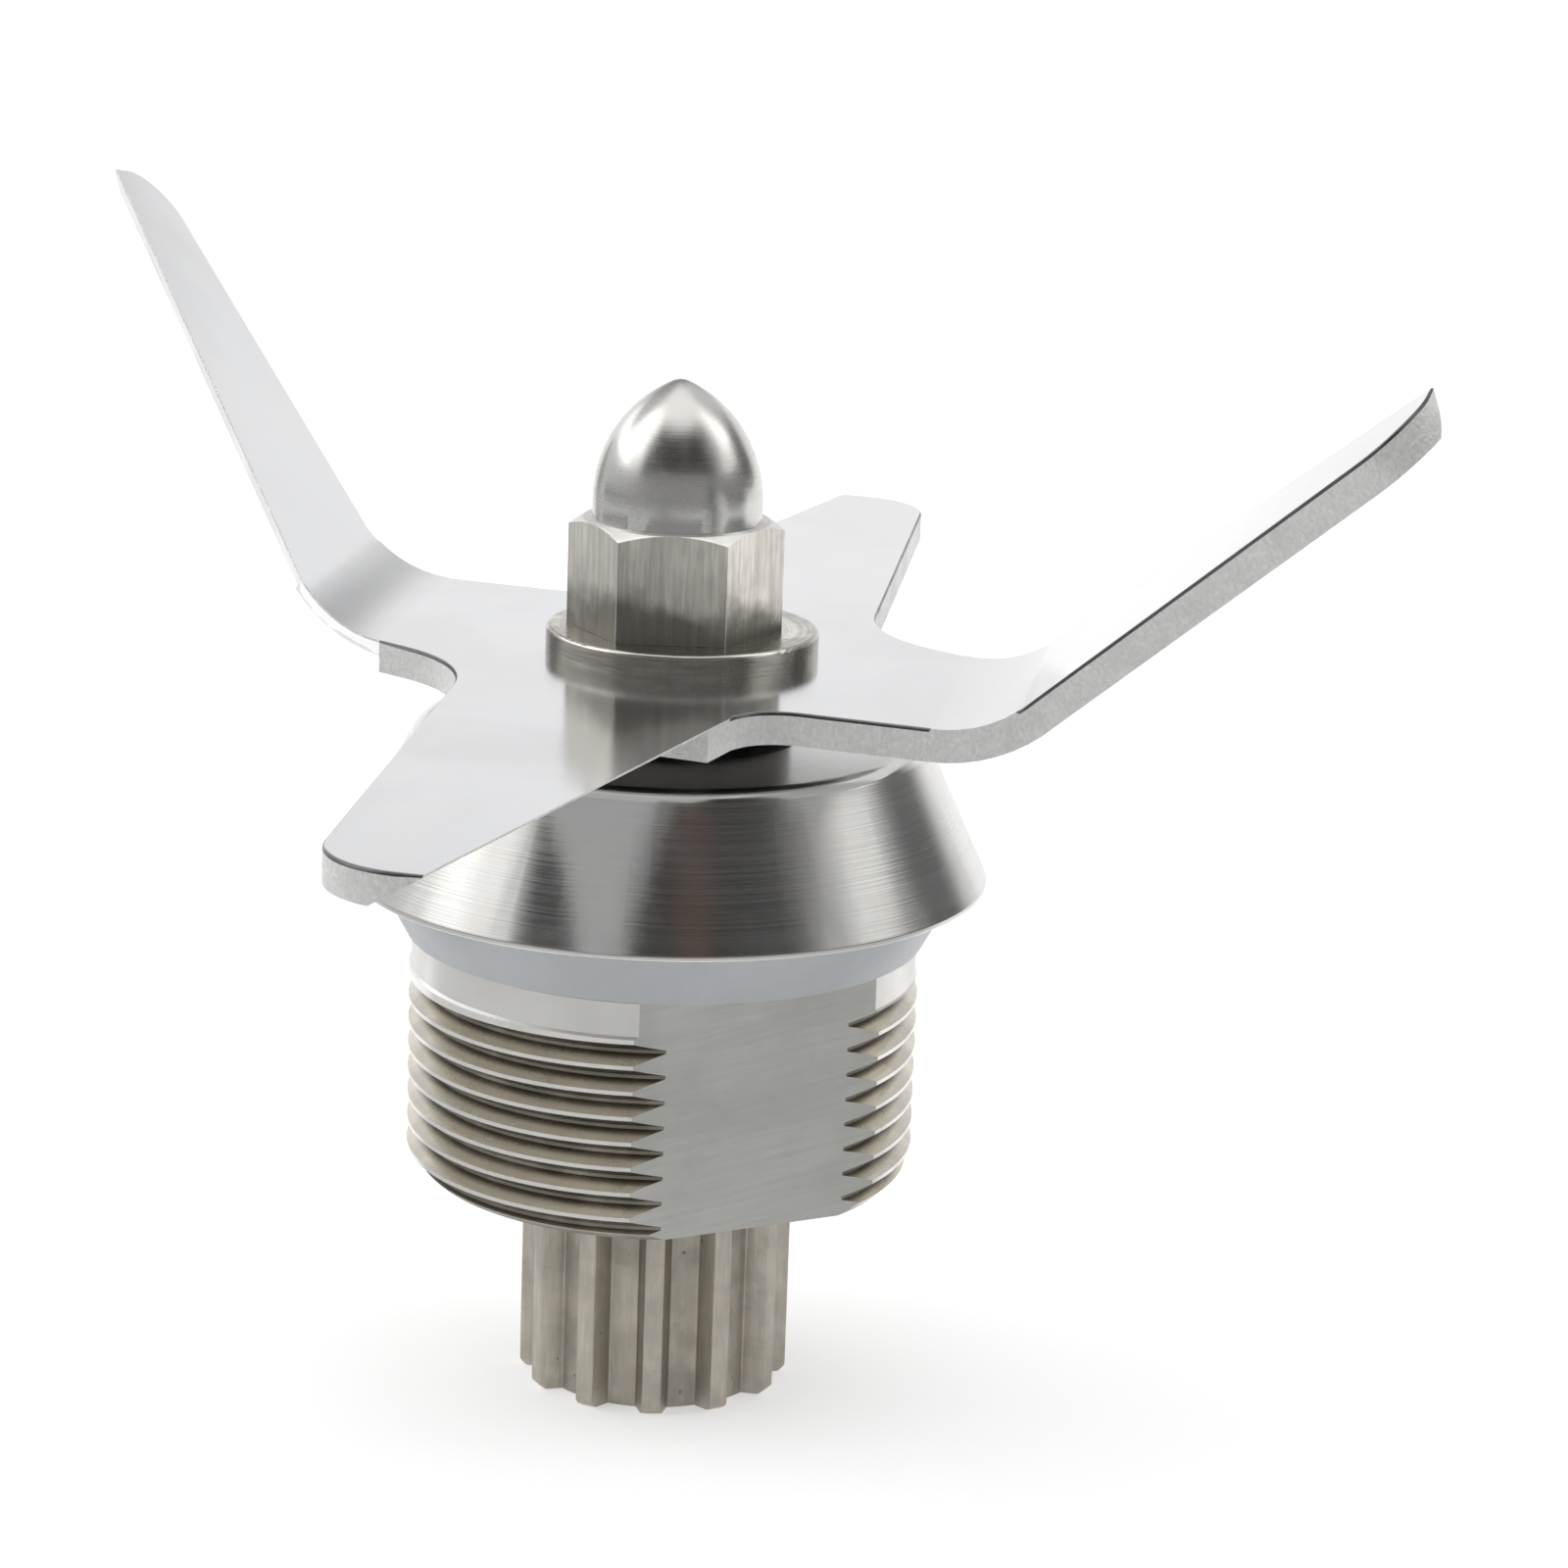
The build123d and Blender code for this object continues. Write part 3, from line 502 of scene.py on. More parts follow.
def steel(name, colour, roughness, warmth=0.06, rings=0.0, ring_pitch=0.00012, ring_shade=0.3, lines=0.0,
          line_length=0.006, line_width=0.00008, grain_along=(1.0, 0.0, 0.0), line_shade=0.2, pits=0.0,
          pit_spacing=0.0009, pit_width=0.25, pit_share=0.3, patch_size=0.006, patch_depth=0.10,
          polish_spread=0.06, dirt=None, dirt_and_shade_colour=(0.10, 0.09, 0.075), foot=None,
          stain_height=0.000001):
    """A bare metal finish: rings, lines, pits, smudges, dirty hollows darkened further as painted shade,
    and painted shade at the foot change its colour, polish and height.
    """
    colour = tuple(colour)
    shade = darker(colour, patch_depth)
    warm = (colour[0] * (1.0 - warmth * 0.5), colour[1] * (1.0 - warmth), colour[2] * (1.0 - 2.0 * warmth))
    material, tree, shader, vector = start_material(name)
    patches = use_group(tree, "smudges", (-900, 300), vector, patch_size=patch_size, sharpness=0.35)
    stains = use_group(tree, "smudges", (-900, 80), vector, patch_size=patch_size * 0.31, sharpness=0.6)
    base = mix_colour(tree, (-500, 300), patches, colour, shade)
    base = lay_over(tree, (-300, 300), base, warm, mask=stains, cover=0.6)
    polish = map_range(
        tree, (-500, -140), patches, 0.0, 1.0, roughness - polish_spread, roughness + polish_spread)
    layers = []
    if rings:
        marks = use_group(tree, "turning_rings", (-900, -160), vector, ring_pitch=ring_pitch)
        layers.append((marks, rings))
        base = lay_over(tree, (-200, 500), base, shade, mask=marks, cover=ring_shade)
        polish = dull(tree, (-300, -140), polish, mask=marks, added=0.05)
    if lines:
        grain = along_the_grain(tree, (-1100, -420), vector, grain_along)
        marks = use_group(
            tree, "drawn_grain", (-900, -380), grain, line_length=line_length, line_width=line_width)
        layers.append((marks, lines))
        base = lay_over(tree, (-100, 300), base, darker(colour, line_shade), mask=marks, cover=0.8)
    if pits:
        holes = use_group(
            tree, "pits", (-900, -600), vector, spacing=pit_spacing, pit_width=pit_width,
            pit_share=pit_share)
        layers.append((math_node(tree, "MULTIPLY", (-500, -600), holes, -1.0), pits))
        base = lay_over(tree, (100, 300), base, darker(colour, 0.75), mask=holes, cover=0.75)
    # Dirty hollows are darkened further as painted shade, towards the thread's root or between the gear's
    # teeth.
    if dirt:
        grime_and_shade = use_group(
            tree, "hollow_dirt_and_shade", (-900, -820), vector, deep_radius=dirt[0], clean_radius=dirt[1])
        base = lay_over(tree, (300, 300), base, dirt_and_shade_colour, mask=grime_and_shade, cover=0.9)
        polish = dull(tree, (100, -140), polish, mask=grime_and_shade, added=0.12)
    # Darker towards the foot: painted shade.
    if foot:
        grime_and_shade = use_group(
            tree, "foot_shade", (-900, -1040), vector, dirty_height=foot[0], clean_height=foot[1])
        base = lay_over(tree, (450, 300), base, dirt_and_shade_colour, mask=grime_and_shade, cover=0.75)
    tree.links.new(base, shader.inputs["Base Color"])
    tree.links.new(polish, shader.inputs["Roughness"])
    shader.inputs["Metallic"].default_value = 1.0
    layers.append((stains, stain_height))
    add_bump(tree, shader, layers)
    return material


def gasket_material(colours):
    """Milky silicone: slightly clear, with cloudy patches, mould lines and specks of dust."""
    material, tree, shader, vector = start_material("milky_silicone")
    clouds = use_group(tree, "smudges", (-900, 300), vector, patch_size=0.009, sharpness=0.2)
    dust = use_group(tree, "pits", (-900, 0), vector, spacing=0.0016, pit_width=0.10, pit_share=0.25)
    ripples = use_group(tree, "turning_rings", (-900, -300), vector, ring_pitch=0.0007)
    colour = tuple(colours.gasket_silicone)
    pale_dust = (0.85, 0.85, 0.84)
    base = mix_colour(tree, (-500, 300), clouds, colour, darker(colour, 0.12))
    base = lay_over(tree, (-300, 300), base, pale_dust, mask=dust, cover=0.5)
    tree.links.new(base, shader.inputs["Base Color"])
    tree.links.new(map_range(tree, (-300, 0), clouds, 0.0, 1.0, 0.30, 0.46), shader.inputs["Roughness"])
    shader.inputs["Subsurface Weight"].default_value = 0.45
    shader.inputs["Subsurface Radius"].default_value = (0.9, 1.0, 1.1)
    shader.inputs["Subsurface Scale"].default_value = 0.0012
    shader.inputs["IOR"].default_value = 1.41
    add_bump(tree, shader, [(ripples, 0.000012), (dust, 0.00001)])
    return material


def rubber_material(colours):
    """Moulded black rubber with a faint bloom."""
    material, tree, shader, vector = start_material("black_seal_rubber")
    bloom = use_group(tree, "smudges", (-900, 300), vector, patch_size=0.003, sharpness=0.3)
    grain = use_group(tree, "pits", (-900, 0), vector, spacing=0.0002, pit_width=0.8, pit_share=0.8)
    bloomed = (0.045, 0.044, 0.043)
    base = mix_colour(tree, (-500, 300), bloom, tuple(colours.seal_rubber), bloomed)
    tree.links.new(base, shader.inputs["Base Color"])
    tree.links.new(map_range(tree, (-300, 0), bloom, 0.0, 1.0, 0.45, 0.7), shader.inputs["Roughness"])
    add_bump(tree, shader, [(grain, 0.000008)])
    return material


def merged_copy(node):
    """A bmesh of a CAD node with its loose triangles joined and its flat faces made whole."""
    shape = bmesh.new()
    shape.from_mesh(nodes[node].data)
    bmesh.ops.remove_doubles(shape, verts=shape.verts, dist=0.001 * MM)
    bmesh.ops.dissolve_limit(
        shape, angle_limit=math.radians(FLAT_WITHIN), use_dissolve_boundaries=False,
        verts=shape.verts, edges=shape.edges, delimit=set())
    return shape


def sharp_edges(shape, low=25.0, high=180.0):
    """The edges whose two faces turn by an angle between these, in degrees."""
    low, high = math.radians(low), math.radians(high)
    return [edge for edge in shape.edges if edge.is_manifold and low < edge.calc_face_angle() < high]


def ease_edges(shape, edges, width, segments=2, held_back=True):
    """Rounds edges, and is held back by short neighbours unless told otherwise."""
    eased = bmesh.ops.bevel(
        shape, geom=edges, offset=width, offset_type="OFFSET", affect="EDGES", segments=segments,
        profile=0.5, material=-1, clamp_overlap=held_back)
    return eased["faces"]


def spin_round(shape, outline, angle, steps, closed):
    """Spins an outline about the vertical axis."""
    bmesh.ops.spin(
        shape, geom=outline, cent=(0.0, 0.0, 0.0), axis=(0.0, 0.0, 1.0), dvec=(0.0, 0.0, 0.0),
        angle=angle, steps=steps, use_merge=closed, use_duplicate=False)


def link_object(shape, name):
    """Writes the bmesh to the mesh of a new object in the scene."""
    mesh = bpy.data.meshes.new(name)
    shape.to_mesh(mesh)
    shape.free()
    made = bpy.data.objects.new(name, mesh)
    bpy.context.scene.collection.objects.link(made)
    return made


def finish_piece(shape, name, materials, body, replaced, smooth_angle=30.0):
    """Makes the bmesh an object that rides on its CAD body and stands for its CAD nodes."""
    shape.edges.index_update()
    borders = [
        edge.index for edge in shape.edges
        if edge.is_manifold and len({face.material_index for face in edge.link_faces}) > 1]
    piece = link_object(shape, name)
    mesh = piece.data
    old_normals = mesh.attributes.get("custom_normal")
    if old_normals:
        mesh.attributes.remove(old_normals)
    for material in materials:
        mesh.materials.append(material)
    mesh.shade_smooth()
    mesh.set_sharp_from_angle(angle=math.radians(smooth_angle))
    for number in borders:
        mesh.edges[number].use_edge_sharp = True
    flat_shading = piece.modifiers.new("flat_faces_stay_flat", "WEIGHTED_NORMAL")
    flat_shading.mode = "FACE_AREA"
    flat_shading.weight = 90
    flat_shading.keep_sharp = True
    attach(piece, body)
    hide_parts(*replaced)


def dress_node(node, material):
    """Gives a CAD node its finish in place of the plain one."""
    for place in nodes[node].material_slots:
        place.material = material


class BLADEUNIT_OT_stage(bpy.types.Operator):
    """Lays the pale floor and sets up the camera and the studio surroundings"""

    bl_idname = "blade_unit.stage"
    bl_label = "Stage, Light and Camera"

    def execute(self, context):
        studio = context.scene.blade_unit_studio
        self.add_camera(context.scene, studio)
        self.add_floor(studio)
        self.add_cloth(studio)
        self.add_surroundings(context.scene, studio)
        context.scene.view_settings.view_transform = "Standard"
        return {"FINISHED"}

    def add_camera(self, scene, studio):
        yaw, pitch, roll = studio.camera_yaw, studio.camera_pitch, studio.camera_roll
        ahead = Vector((
            math.sin(yaw) * math.cos(pitch), math.cos(yaw) * math.cos(pitch), -math.sin(pitch)))
        level = Vector((math.cos(yaw), -math.sin(yaw), 0.0))
        upward = level.cross(ahead)
        right = math.cos(roll) * level + math.sin(roll) * upward
        up = math.cos(roll) * upward - math.sin(roll) * level
        lens = bpy.data.cameras.new("studio_camera")
        lens.lens = studio.lens
        lens.sensor_width = 36.0
        lens.shift_x = studio.shift_right
        lens.shift_y = studio.shift_up
        lens.clip_start = 0.01
        lens.clip_end = 20.0
        camera = bpy.data.objects.new("studio_camera", lens)
        scene.collection.objects.link(camera)
        turned = Matrix((right, up, -ahead)).transposed().to_4x4()
        camera.matrix_world = Matrix.Translation(Vector(studio.camera_place)) @ turned
        scene.camera = camera

    def add_floor(self, studio):
        """A pale floor that glows for the camera and in reflections, and keeps the object's shadow."""
        shape = bmesh.new()
        bmesh.ops.create_grid(shape, x_segments=1, y_segments=1, size=studio.floor_half)
        floor = link_object(shape, "pale_floor")
        material = bpy.data.materials.new("pale_floor")
        tree = cleared_tree(material)
        matt = new_node(tree, "ShaderNodeBsdfDiffuse", (-200, 100))
        matt.inputs["Color"].default_value = (*grey(studio.floor_tone), 1.0)
        glow = new_node(tree, "ShaderNodeEmission", (-200, -100))
        rays = new_node(tree, "ShaderNodeLightPath", (-800, -100))
        seen = math_node(
            tree, "MAXIMUM", (-600, -100), rays.outputs["Is Camera Ray"], rays.outputs["Is Glossy Ray"])
        strength = math_node(tree, "MULTIPLY", (-400, -100), seen, studio.floor_glow)
        tree.links.new(strength, glow.inputs["Strength"])
        both = new_node(tree, "ShaderNodeAddShader", (0, 0))
        out = new_node(tree, "ShaderNodeOutputMaterial", (200, 0))
        tree.links.new(matt.outputs[0], both.inputs[0])
        tree.links.new(glow.outputs[0], both.inputs[1])
        tree.links.new(both.outputs[0], out.inputs["Surface"])
        floor.data.materials.append(material)

    def add_cloth(self, studio):
        """A cloth on the floor, pale near the object and dark far out, seen only in reflections."""
        shape = bmesh.new()
        reaches = (studio.cloth_near, studio.cloth_far)
        ends = [shape.verts.new((0.0, -reach, CLOTH_LIFT)) for reach in reaches]
        edge = shape.edges.new(ends)
        bmesh.ops.rotate(
            shape, verts=ends, cent=(0.0, 0.0, 0.0), matrix=Matrix.Rotation(studio.cloth_left, 3, "Z"))
        spin_round(shape, ends + [edge], studio.cloth_right - studio.cloth_left, CLOTH_STEPS, closed=False)
        bmesh.ops.recalc_face_normals(shape, faces=shape.faces)
        cloth = link_object(shape, "grey_cloth")
        material, tree, shader, vector = start_material("grey_cloth")
        reach = vector_length(tree, (-700, 0), vector)
        far = map_range(tree, (-500, 0), reach, studio.cloth_fade, 2.0 * studio.cloth_fade, 0.0, 1.0)
        faded = mix_colour(tree, (-300, 0), far, grey(studio.cloth_tone), grey(studio.cloth_dark))
        tree.links.new(faded, shader.inputs["Base Color"])
        shader.inputs["Roughness"].default_value = 1.0
        cloth.data.materials.append(material)
        cloth.visible_camera = False
        cloth.visible_diffuse = False
        cloth.visible_shadow = False

    def add_surroundings(self, scene, studio):
        """A room of three rings of light and dark, one above the other, under a bright top."""
        world = bpy.data.worlds.new("studio_surroundings")
        scene.world = world
        tree = cleared_tree(world)
        sky = new_node(tree, "ShaderNodeTexCoord", (-1600, 0))
        x, y, z = split_vector(tree, (-1400, 0), sky.outputs["Generated"])
        forward = math_node(tree, "MULTIPLY", (-1200, 60), y, -1.0)
        angle = math_node(tree, "ARCTAN2", (-1000, 120), x, forward)
        turns = math_node(tree, "DIVIDE", (-800, 120), angle, math.tau)
        around = math_node(tree, "ADD", (-600, 120), turns, 0.5)
        rise = map_range(tree, (-1000, -500), y, FRONT_REACH[0], FRONT_REACH[1], FRONT_RISE, 0.0)
        lowered = math_node(tree, "SUBTRACT", (-700, -500), z, rise)
        light = self.brightness_ramp(tree, (-300, 400), around, LEVEL_RING, studio.room_light)
        upper_rings = ((MIDDLE_RING, lowered, MIDDLE_START), (HIGH_RING, z, HIGH_START))
        for row, (stops, height, start) in enumerate(upper_rings):
            ring = self.brightness_ramp(tree, (-300, 100 - 300 * row), around, stops, studio.room_light)
            mask = self.height_mask(tree, (-300, -500 - 200 * row), height, start, 0.0, 1.0)
            light = mix_colour(tree, (150 * row, 100), mask, light, ring)
        above = self.height_mask(tree, (-300, -900), z, TOP_START, 0.0, 1.0)
        light = mix_colour(tree, (300, 0), above, light, grey(studio.top_light))
        greyed = new_node(tree, "ShaderNodeHueSaturation", (400, -100))
        brown_left = self.height_mask(tree, (100, -500), z, BROWN_END, 1.0, 0.0)
        tree.links.new(brown_left, greyed.inputs["Saturation"])
        tree.links.new(light, greyed.inputs["Color"])
        room = new_node(tree, "ShaderNodeBackground", (500, 0))
        tree.links.new(greyed.outputs[0], room.inputs["Color"])
        white = new_node(tree, "ShaderNodeBackground", (500, -200))
        white.inputs["Color"].default_value = (*grey(1.0), 1.0)
        rays = new_node(tree, "ShaderNodeLightPath", (500, 300))
        choice = new_node(tree, "ShaderNodeMixShader", (700, 0))
        out = new_node(tree, "ShaderNodeOutputWorld", (900, 0))
        tree.links.new(rays.outputs["Is Camera Ray"], choice.inputs[0])
        tree.links.new(room.outputs[0], choice.inputs[1])
        tree.links.new(white.outputs[0], choice.inputs[2])
        tree.links.new(choice.outputs[0], out.inputs["Surface"])

    def height_mask(self, tree, place, height, ends, below, over):
        """One value below the first height and another over the second, in degrees over the horizon."""
        low, high = (math.sin(math.radians(degrees)) for degrees in ends)
        return map_range(tree, place, height, low, high, below, over)

    def brightness_ramp(self, tree, place, around, stops, room_light):
        """The light that a ring gives in each direction."""
        ramp = new_node(tree, "ShaderNodeValToRGB", place)
        tree.links.new(around, ramp.inputs[0])
        steps = ramp.color_ramp.elements
        for degrees, _ in stops[1:-1]:
            steps.new(degrees / 360.0 + 0.5)
        for step, (degrees, value) in zip(steps, stops):
            step.position = degrees / 360.0 + 0.5
            tint = value if isinstance(value, tuple) else grey(value)
            step.color = (tint[0] * room_light, tint[1] * room_light, tint[2] * room_light, 1.0)
        return ramp.outputs[0]


TURNED, MILLED, CUT, NECK, SHADOWED_SHOULDER, RIM, CREST = range(7)


class BLADEUNIT_OT_housing(bpy.types.Operator):
    """Rounds the upper edge of the housing's cone and gives the housing its steel finishes"""

    bl_idname = "blade_unit.housing"
    bl_label = "Threaded Housing"

    def execute(self, context):
        sizes = context.scene.blade_unit_sizes
        colours = context.scene.blade_unit_colours
        turned = steel(
            "turned_housing_steel", colours.turned_steel, 0.19, rings=0.000002, ring_pitch=0.00011,
            patch_size=0.012, patch_depth=0.08, polish_spread=0.03)
        mill_direction = (-math.sin(sizes.flat_turn), math.cos(sizes.flat_turn), 0.12)
        milled = steel(
            "milled_flat_steel", colours.milled_steel, 0.42, grain_along=mill_direction,
            lines=0.000002, line_width=0.00030, line_length=0.006, line_shade=0.15, patch_size=0.005,
            patch_depth=0.10, warmth=0.02)
        # The thread's roots get a dark, dirty colour that also stands in as painted shade.
        cut = steel(
            "cut_thread_steel", colours.thread_steel, 0.20, warmth=0.06, rings=0.000001,
            ring_pitch=0.0002, patch_size=0.003, patch_depth=0.16, dirt_and_shade_colour=(0.15, 0.135, 0.11),
            dirt=(sizes.thread_root + THREAD_DIRT_AND_SHADE[0], sizes.thread_radius - THREAD_DIRT_AND_SHADE[1]))
        neck = steel(
            "neck_steel", colours.neck_steel, 0.34, warmth=0.02, rings=0.000002, ring_pitch=0.00009,
            patch_size=0.004, patch_depth=0.05)
        # Dark colour on the thin shoulder just under the gasket: a painted shadow.
        shoulder = steel(
            "shoulder_painted_shadow_steel", colours.painted_dark_steel, 0.5, warmth=0.04, pits=0.00001,
            pit_spacing=0.0004, patch_size=0.002, patch_depth=0.3)
        # The cone's rounded rim takes the light crest tone: a painted highlight added to the real one from
        # its rounding.
        rim = steel(
            "polished_rim_highlight_steel", colours.crest_and_rim_highlight_steel, 0.16, warmth=0.03, rings=0.000001,
            ring_pitch=0.0001, patch_size=0.004, patch_depth=0.08)
        # The crests are lighter than the flanks: rubbed wear, and also painted highlight lines.
        crest = steel(
            "rubbed_crest_highlight_steel", colours.crest_and_rim_highlight_steel, 0.26, warmth=0.03, pits=0.00001,
            pit_spacing=0.0007, pit_share=0.2, patch_size=0.003, patch_depth=0.12)
        shape = merged_copy("bearing_housing")
        self.sort_faces(shape, sizes)
        self.polish_rim(shape, sizes)
        finish_piece(
            shape, "threaded_housing", [turned, milled, cut, neck, shoulder, rim, crest], "housing",
            ["bearing_housing"])
        return {"FINISHED"}

    def sort_faces(self, shape, sizes):
        """Gives the milled flats, the thread and the plain neck their own finishes."""
        facing = Vector((math.cos(sizes.flat_turn), math.sin(sizes.flat_turn), 0.0))
        for face in shape.faces:
            centre = face.calc_center_median()
            from_flat = abs(abs(centre.dot(facing)) - sizes.flat_distance)
            reaches = [math.hypot(vert.co.x, vert.co.y) for vert in face.verts]
            outside = max(reaches) > sizes.thread_root - WALL_MARGIN
            if from_flat < ON_SURFACE and abs(face.normal.z) < UPRIGHT:
                face.material_index = MILLED
            elif outside and centre.z < sizes.neck_bottom:
                face.material_index = CREST if min(reaches) > sizes.thread_radius - ON_SURFACE else CUT
            elif outside and centre.z < gasket_bottom - sizes.shadowed_shoulder_height:
                face.material_index = NECK
            # The thin band just under the gasket gets the dark colour: a painted shadow.
            elif outside and centre.z < gasket_bottom:
                face.material_index = SHADOWED_SHOULDER
            else:
                face.material_index = TURNED

    def polish_rim(self, shape, sizes):
        """Puts a wider rounding in place of the small one at the cone's upper edge."""
        self.clear_rounding(shape, sizes)
        others = set(shape.faces)
        self.spin_rounding(shape, sizes)
        for face in shape.faces:
            if face not in others:
                face.material_index = RIM
                face.normal_update()
                if face.normal.z < 0.0:
                    face.normal_flip()

    def clear_rounding(self, shape, sizes):
        """Grows the CAD's rounding about the corner, and removes its faces but not their borders."""
        growth = sizes.worn_round / sizes.cone_round
        slope = sizes.cone_slope
        reach = EDGE_SPARE * sizes.cone_round * math.tan((math.pi / 2 - slope) / 2)
        grown = set()
        for vert in shape.verts:
            across = math.hypot(vert.co.x, vert.co.y)
            drop = housing_top - vert.co.z
            inset = sizes.cone_corner - across
            if drop < reach * math.cos(slope) and inset < reach:
                grown.add(vert)
                wanted = sizes.cone_corner - inset * growth
                vert.co.x *= wanted / across
                vert.co.y *= wanted / across
                vert.co.z = housing_top - drop * growth
        rounding = [
            face for face in shape.faces
            if all(vert in grown for vert in face.verts)
            and min(vert.co.z for vert in face.verts) < housing_top - FLAT_TOP]
        bmesh.ops.delete(shape, geom=rounding, context="FACES")

    def spin_rounding(self, shape, sizes):
        """Spins an arc that runs on smoothly from the cone's side to its top."""
        slope = sizes.cone_slope
        radius = sizes.worn_round
        centre = sizes.cone_corner - radius * (1.0 - math.sin(slope)) / math.cos(slope)
        points = []
        for step in range(ARC_STEPS + 1):
            lean = slope + (math.pi / 2 - slope) * step / ARC_STEPS
            points.append(shape.verts.new((
                centre + radius * math.cos(lean), 0.0, housing_top - radius * (1.0 - math.sin(lean)))))
        chain = [shape.edges.new(pair) for pair in zip(points, points[1:])]
        spin_round(shape, points + chain, math.tau, RING_STEPS, closed=True)


ROLLED, TORN, GROUND, ROLL_OVER_PAINTED_DARK = range(4)


class BLADEUNIT_OT_blade(bpy.types.Operator):
    """Rolls over the sheared edges of the blade and gives it its rolled, torn and ground finishes"""

    bl_idname = "blade_unit.blade"
    bl_label = "Sheared Blade"

    def execute(self, context):
        sizes = context.scene.blade_unit_sizes
        colours = context.scene.blade_unit_colours
        rolled = steel(
            "rolled_blade_steel", colours.rolled_steel, 0.14, grain_along=(0.5, 0.87, 0.0),
            warmth=0.015, lines=0.0000003, line_length=0.012, line_width=0.0001, line_shade=0.03,
            patch_size=0.02, patch_depth=0.025, polish_spread=0.025, stain_height=0.0000005)
        torn = steel(
            "torn_edge_steel", colours.sheared_steel, 0.60, warmth=0.01, lines=0.000060,
            line_length=0.00034, line_width=0.00020, line_shade=0.20, grain_along=(0.0, 0.0, 1.0),
            patch_size=0.004, patch_depth=0.10)
        ground = steel(
            "ground_bevel_steel", colours.ground_steel, 0.26, grain_along=(0.88, -0.47, 0.0),
            lines=0.0000015, line_length=0.003, line_width=0.00007, patch_size=0.006, patch_depth=0.1)
        # Near-black roll-over along the sheared outline: a painted dark reflection.
        roll_over_painted_dark = steel(
            "roll_over_painted_reflection_steel", colours.painted_dark_steel, 0.30, warmth=0.02, lines=0.000004,
            line_length=0.0008, line_width=0.0001, patch_size=0.002, patch_depth=0.2)
        shape = merged_copy("blade")
        self.sort_faces(shape)
        outline = [
            edge for edge in sharp_edges(shape, *SHEARED_CORNER)
            if self.borders_the_top(edge) and not self.is_keen(edge)]
        for face in ease_edges(shape, outline, sizes.sheared_edge, segments=3, held_back=False):
            face.normal_update()
            # Roll-over faces between the top and the torn side get the near-black colour: a painted
            # reflection.
            if ROLL_OVER_PAINTED_DARK_FROM < self.lie(face) < TOP_FROM:
                face.material_index = ROLL_OVER_PAINTED_DARK
        finish_piece(
            shape, "sheared_blade", [rolled, torn, ground, roll_over_painted_dark], "rotor", ["blade"],
            smooth_angle=40.0)
        return {"FINISHED"}

    def sort_faces(self, shape):
        """Finds the torn outline and the ground bevels by how each face lies to the sheet."""
        for face in shape.faces:
            flatness = abs(self.lie(face))
            if flatness < TORN_BELOW:
                face.material_index = TORN
            elif flatness < GROUND_BELOW and face.calc_area() > BEVEL_AREA:
                face.material_index = GROUND
            else:
                face.material_index = ROLLED

    def borders_the_top(self, edge):
        """Whether one of the edge's two faces is the top of the sheet."""
        return max(self.lie(face) for face in edge.link_faces) > TOP_FROM

    def is_keen(self, edge):
        """Whether the edge borders the narrow land that the grinding has left."""
        narrowest = min(face.calc_area() for face in edge.link_faces)
        return narrowest < LAND_WIDTH * edge.calc_length()

    def lie(self, face):
        """How a face lies to the sheet: 1 along its top, 0 across it and -1 along its underside."""
        return face.normal.dot(self.sheet_direction(face.calc_center_median()))

    def sheet_direction(self, spot):
        """Which way the top of the sheet faces near this spot: up, or inwards on the two bent arms."""
        bent = min(1.0, max(0.0, (spot.z - washer_bottom) / BEND_HEIGHT))
        side = -1.0 if spot.x > 0.0 else 1.0
        arm = Vector((ARM_FACING[0] * side, ARM_FACING[1] * side, ARM_FACING[2]))
        return Vector((0.0, 0.0, 1.0)).lerp(arm, bent).normalized()


DOME, SIDE, CHAMFER_AND_EDGE_HIGHLIGHT = range(3)
STAMPED, SHADED_SIDE = range(2)


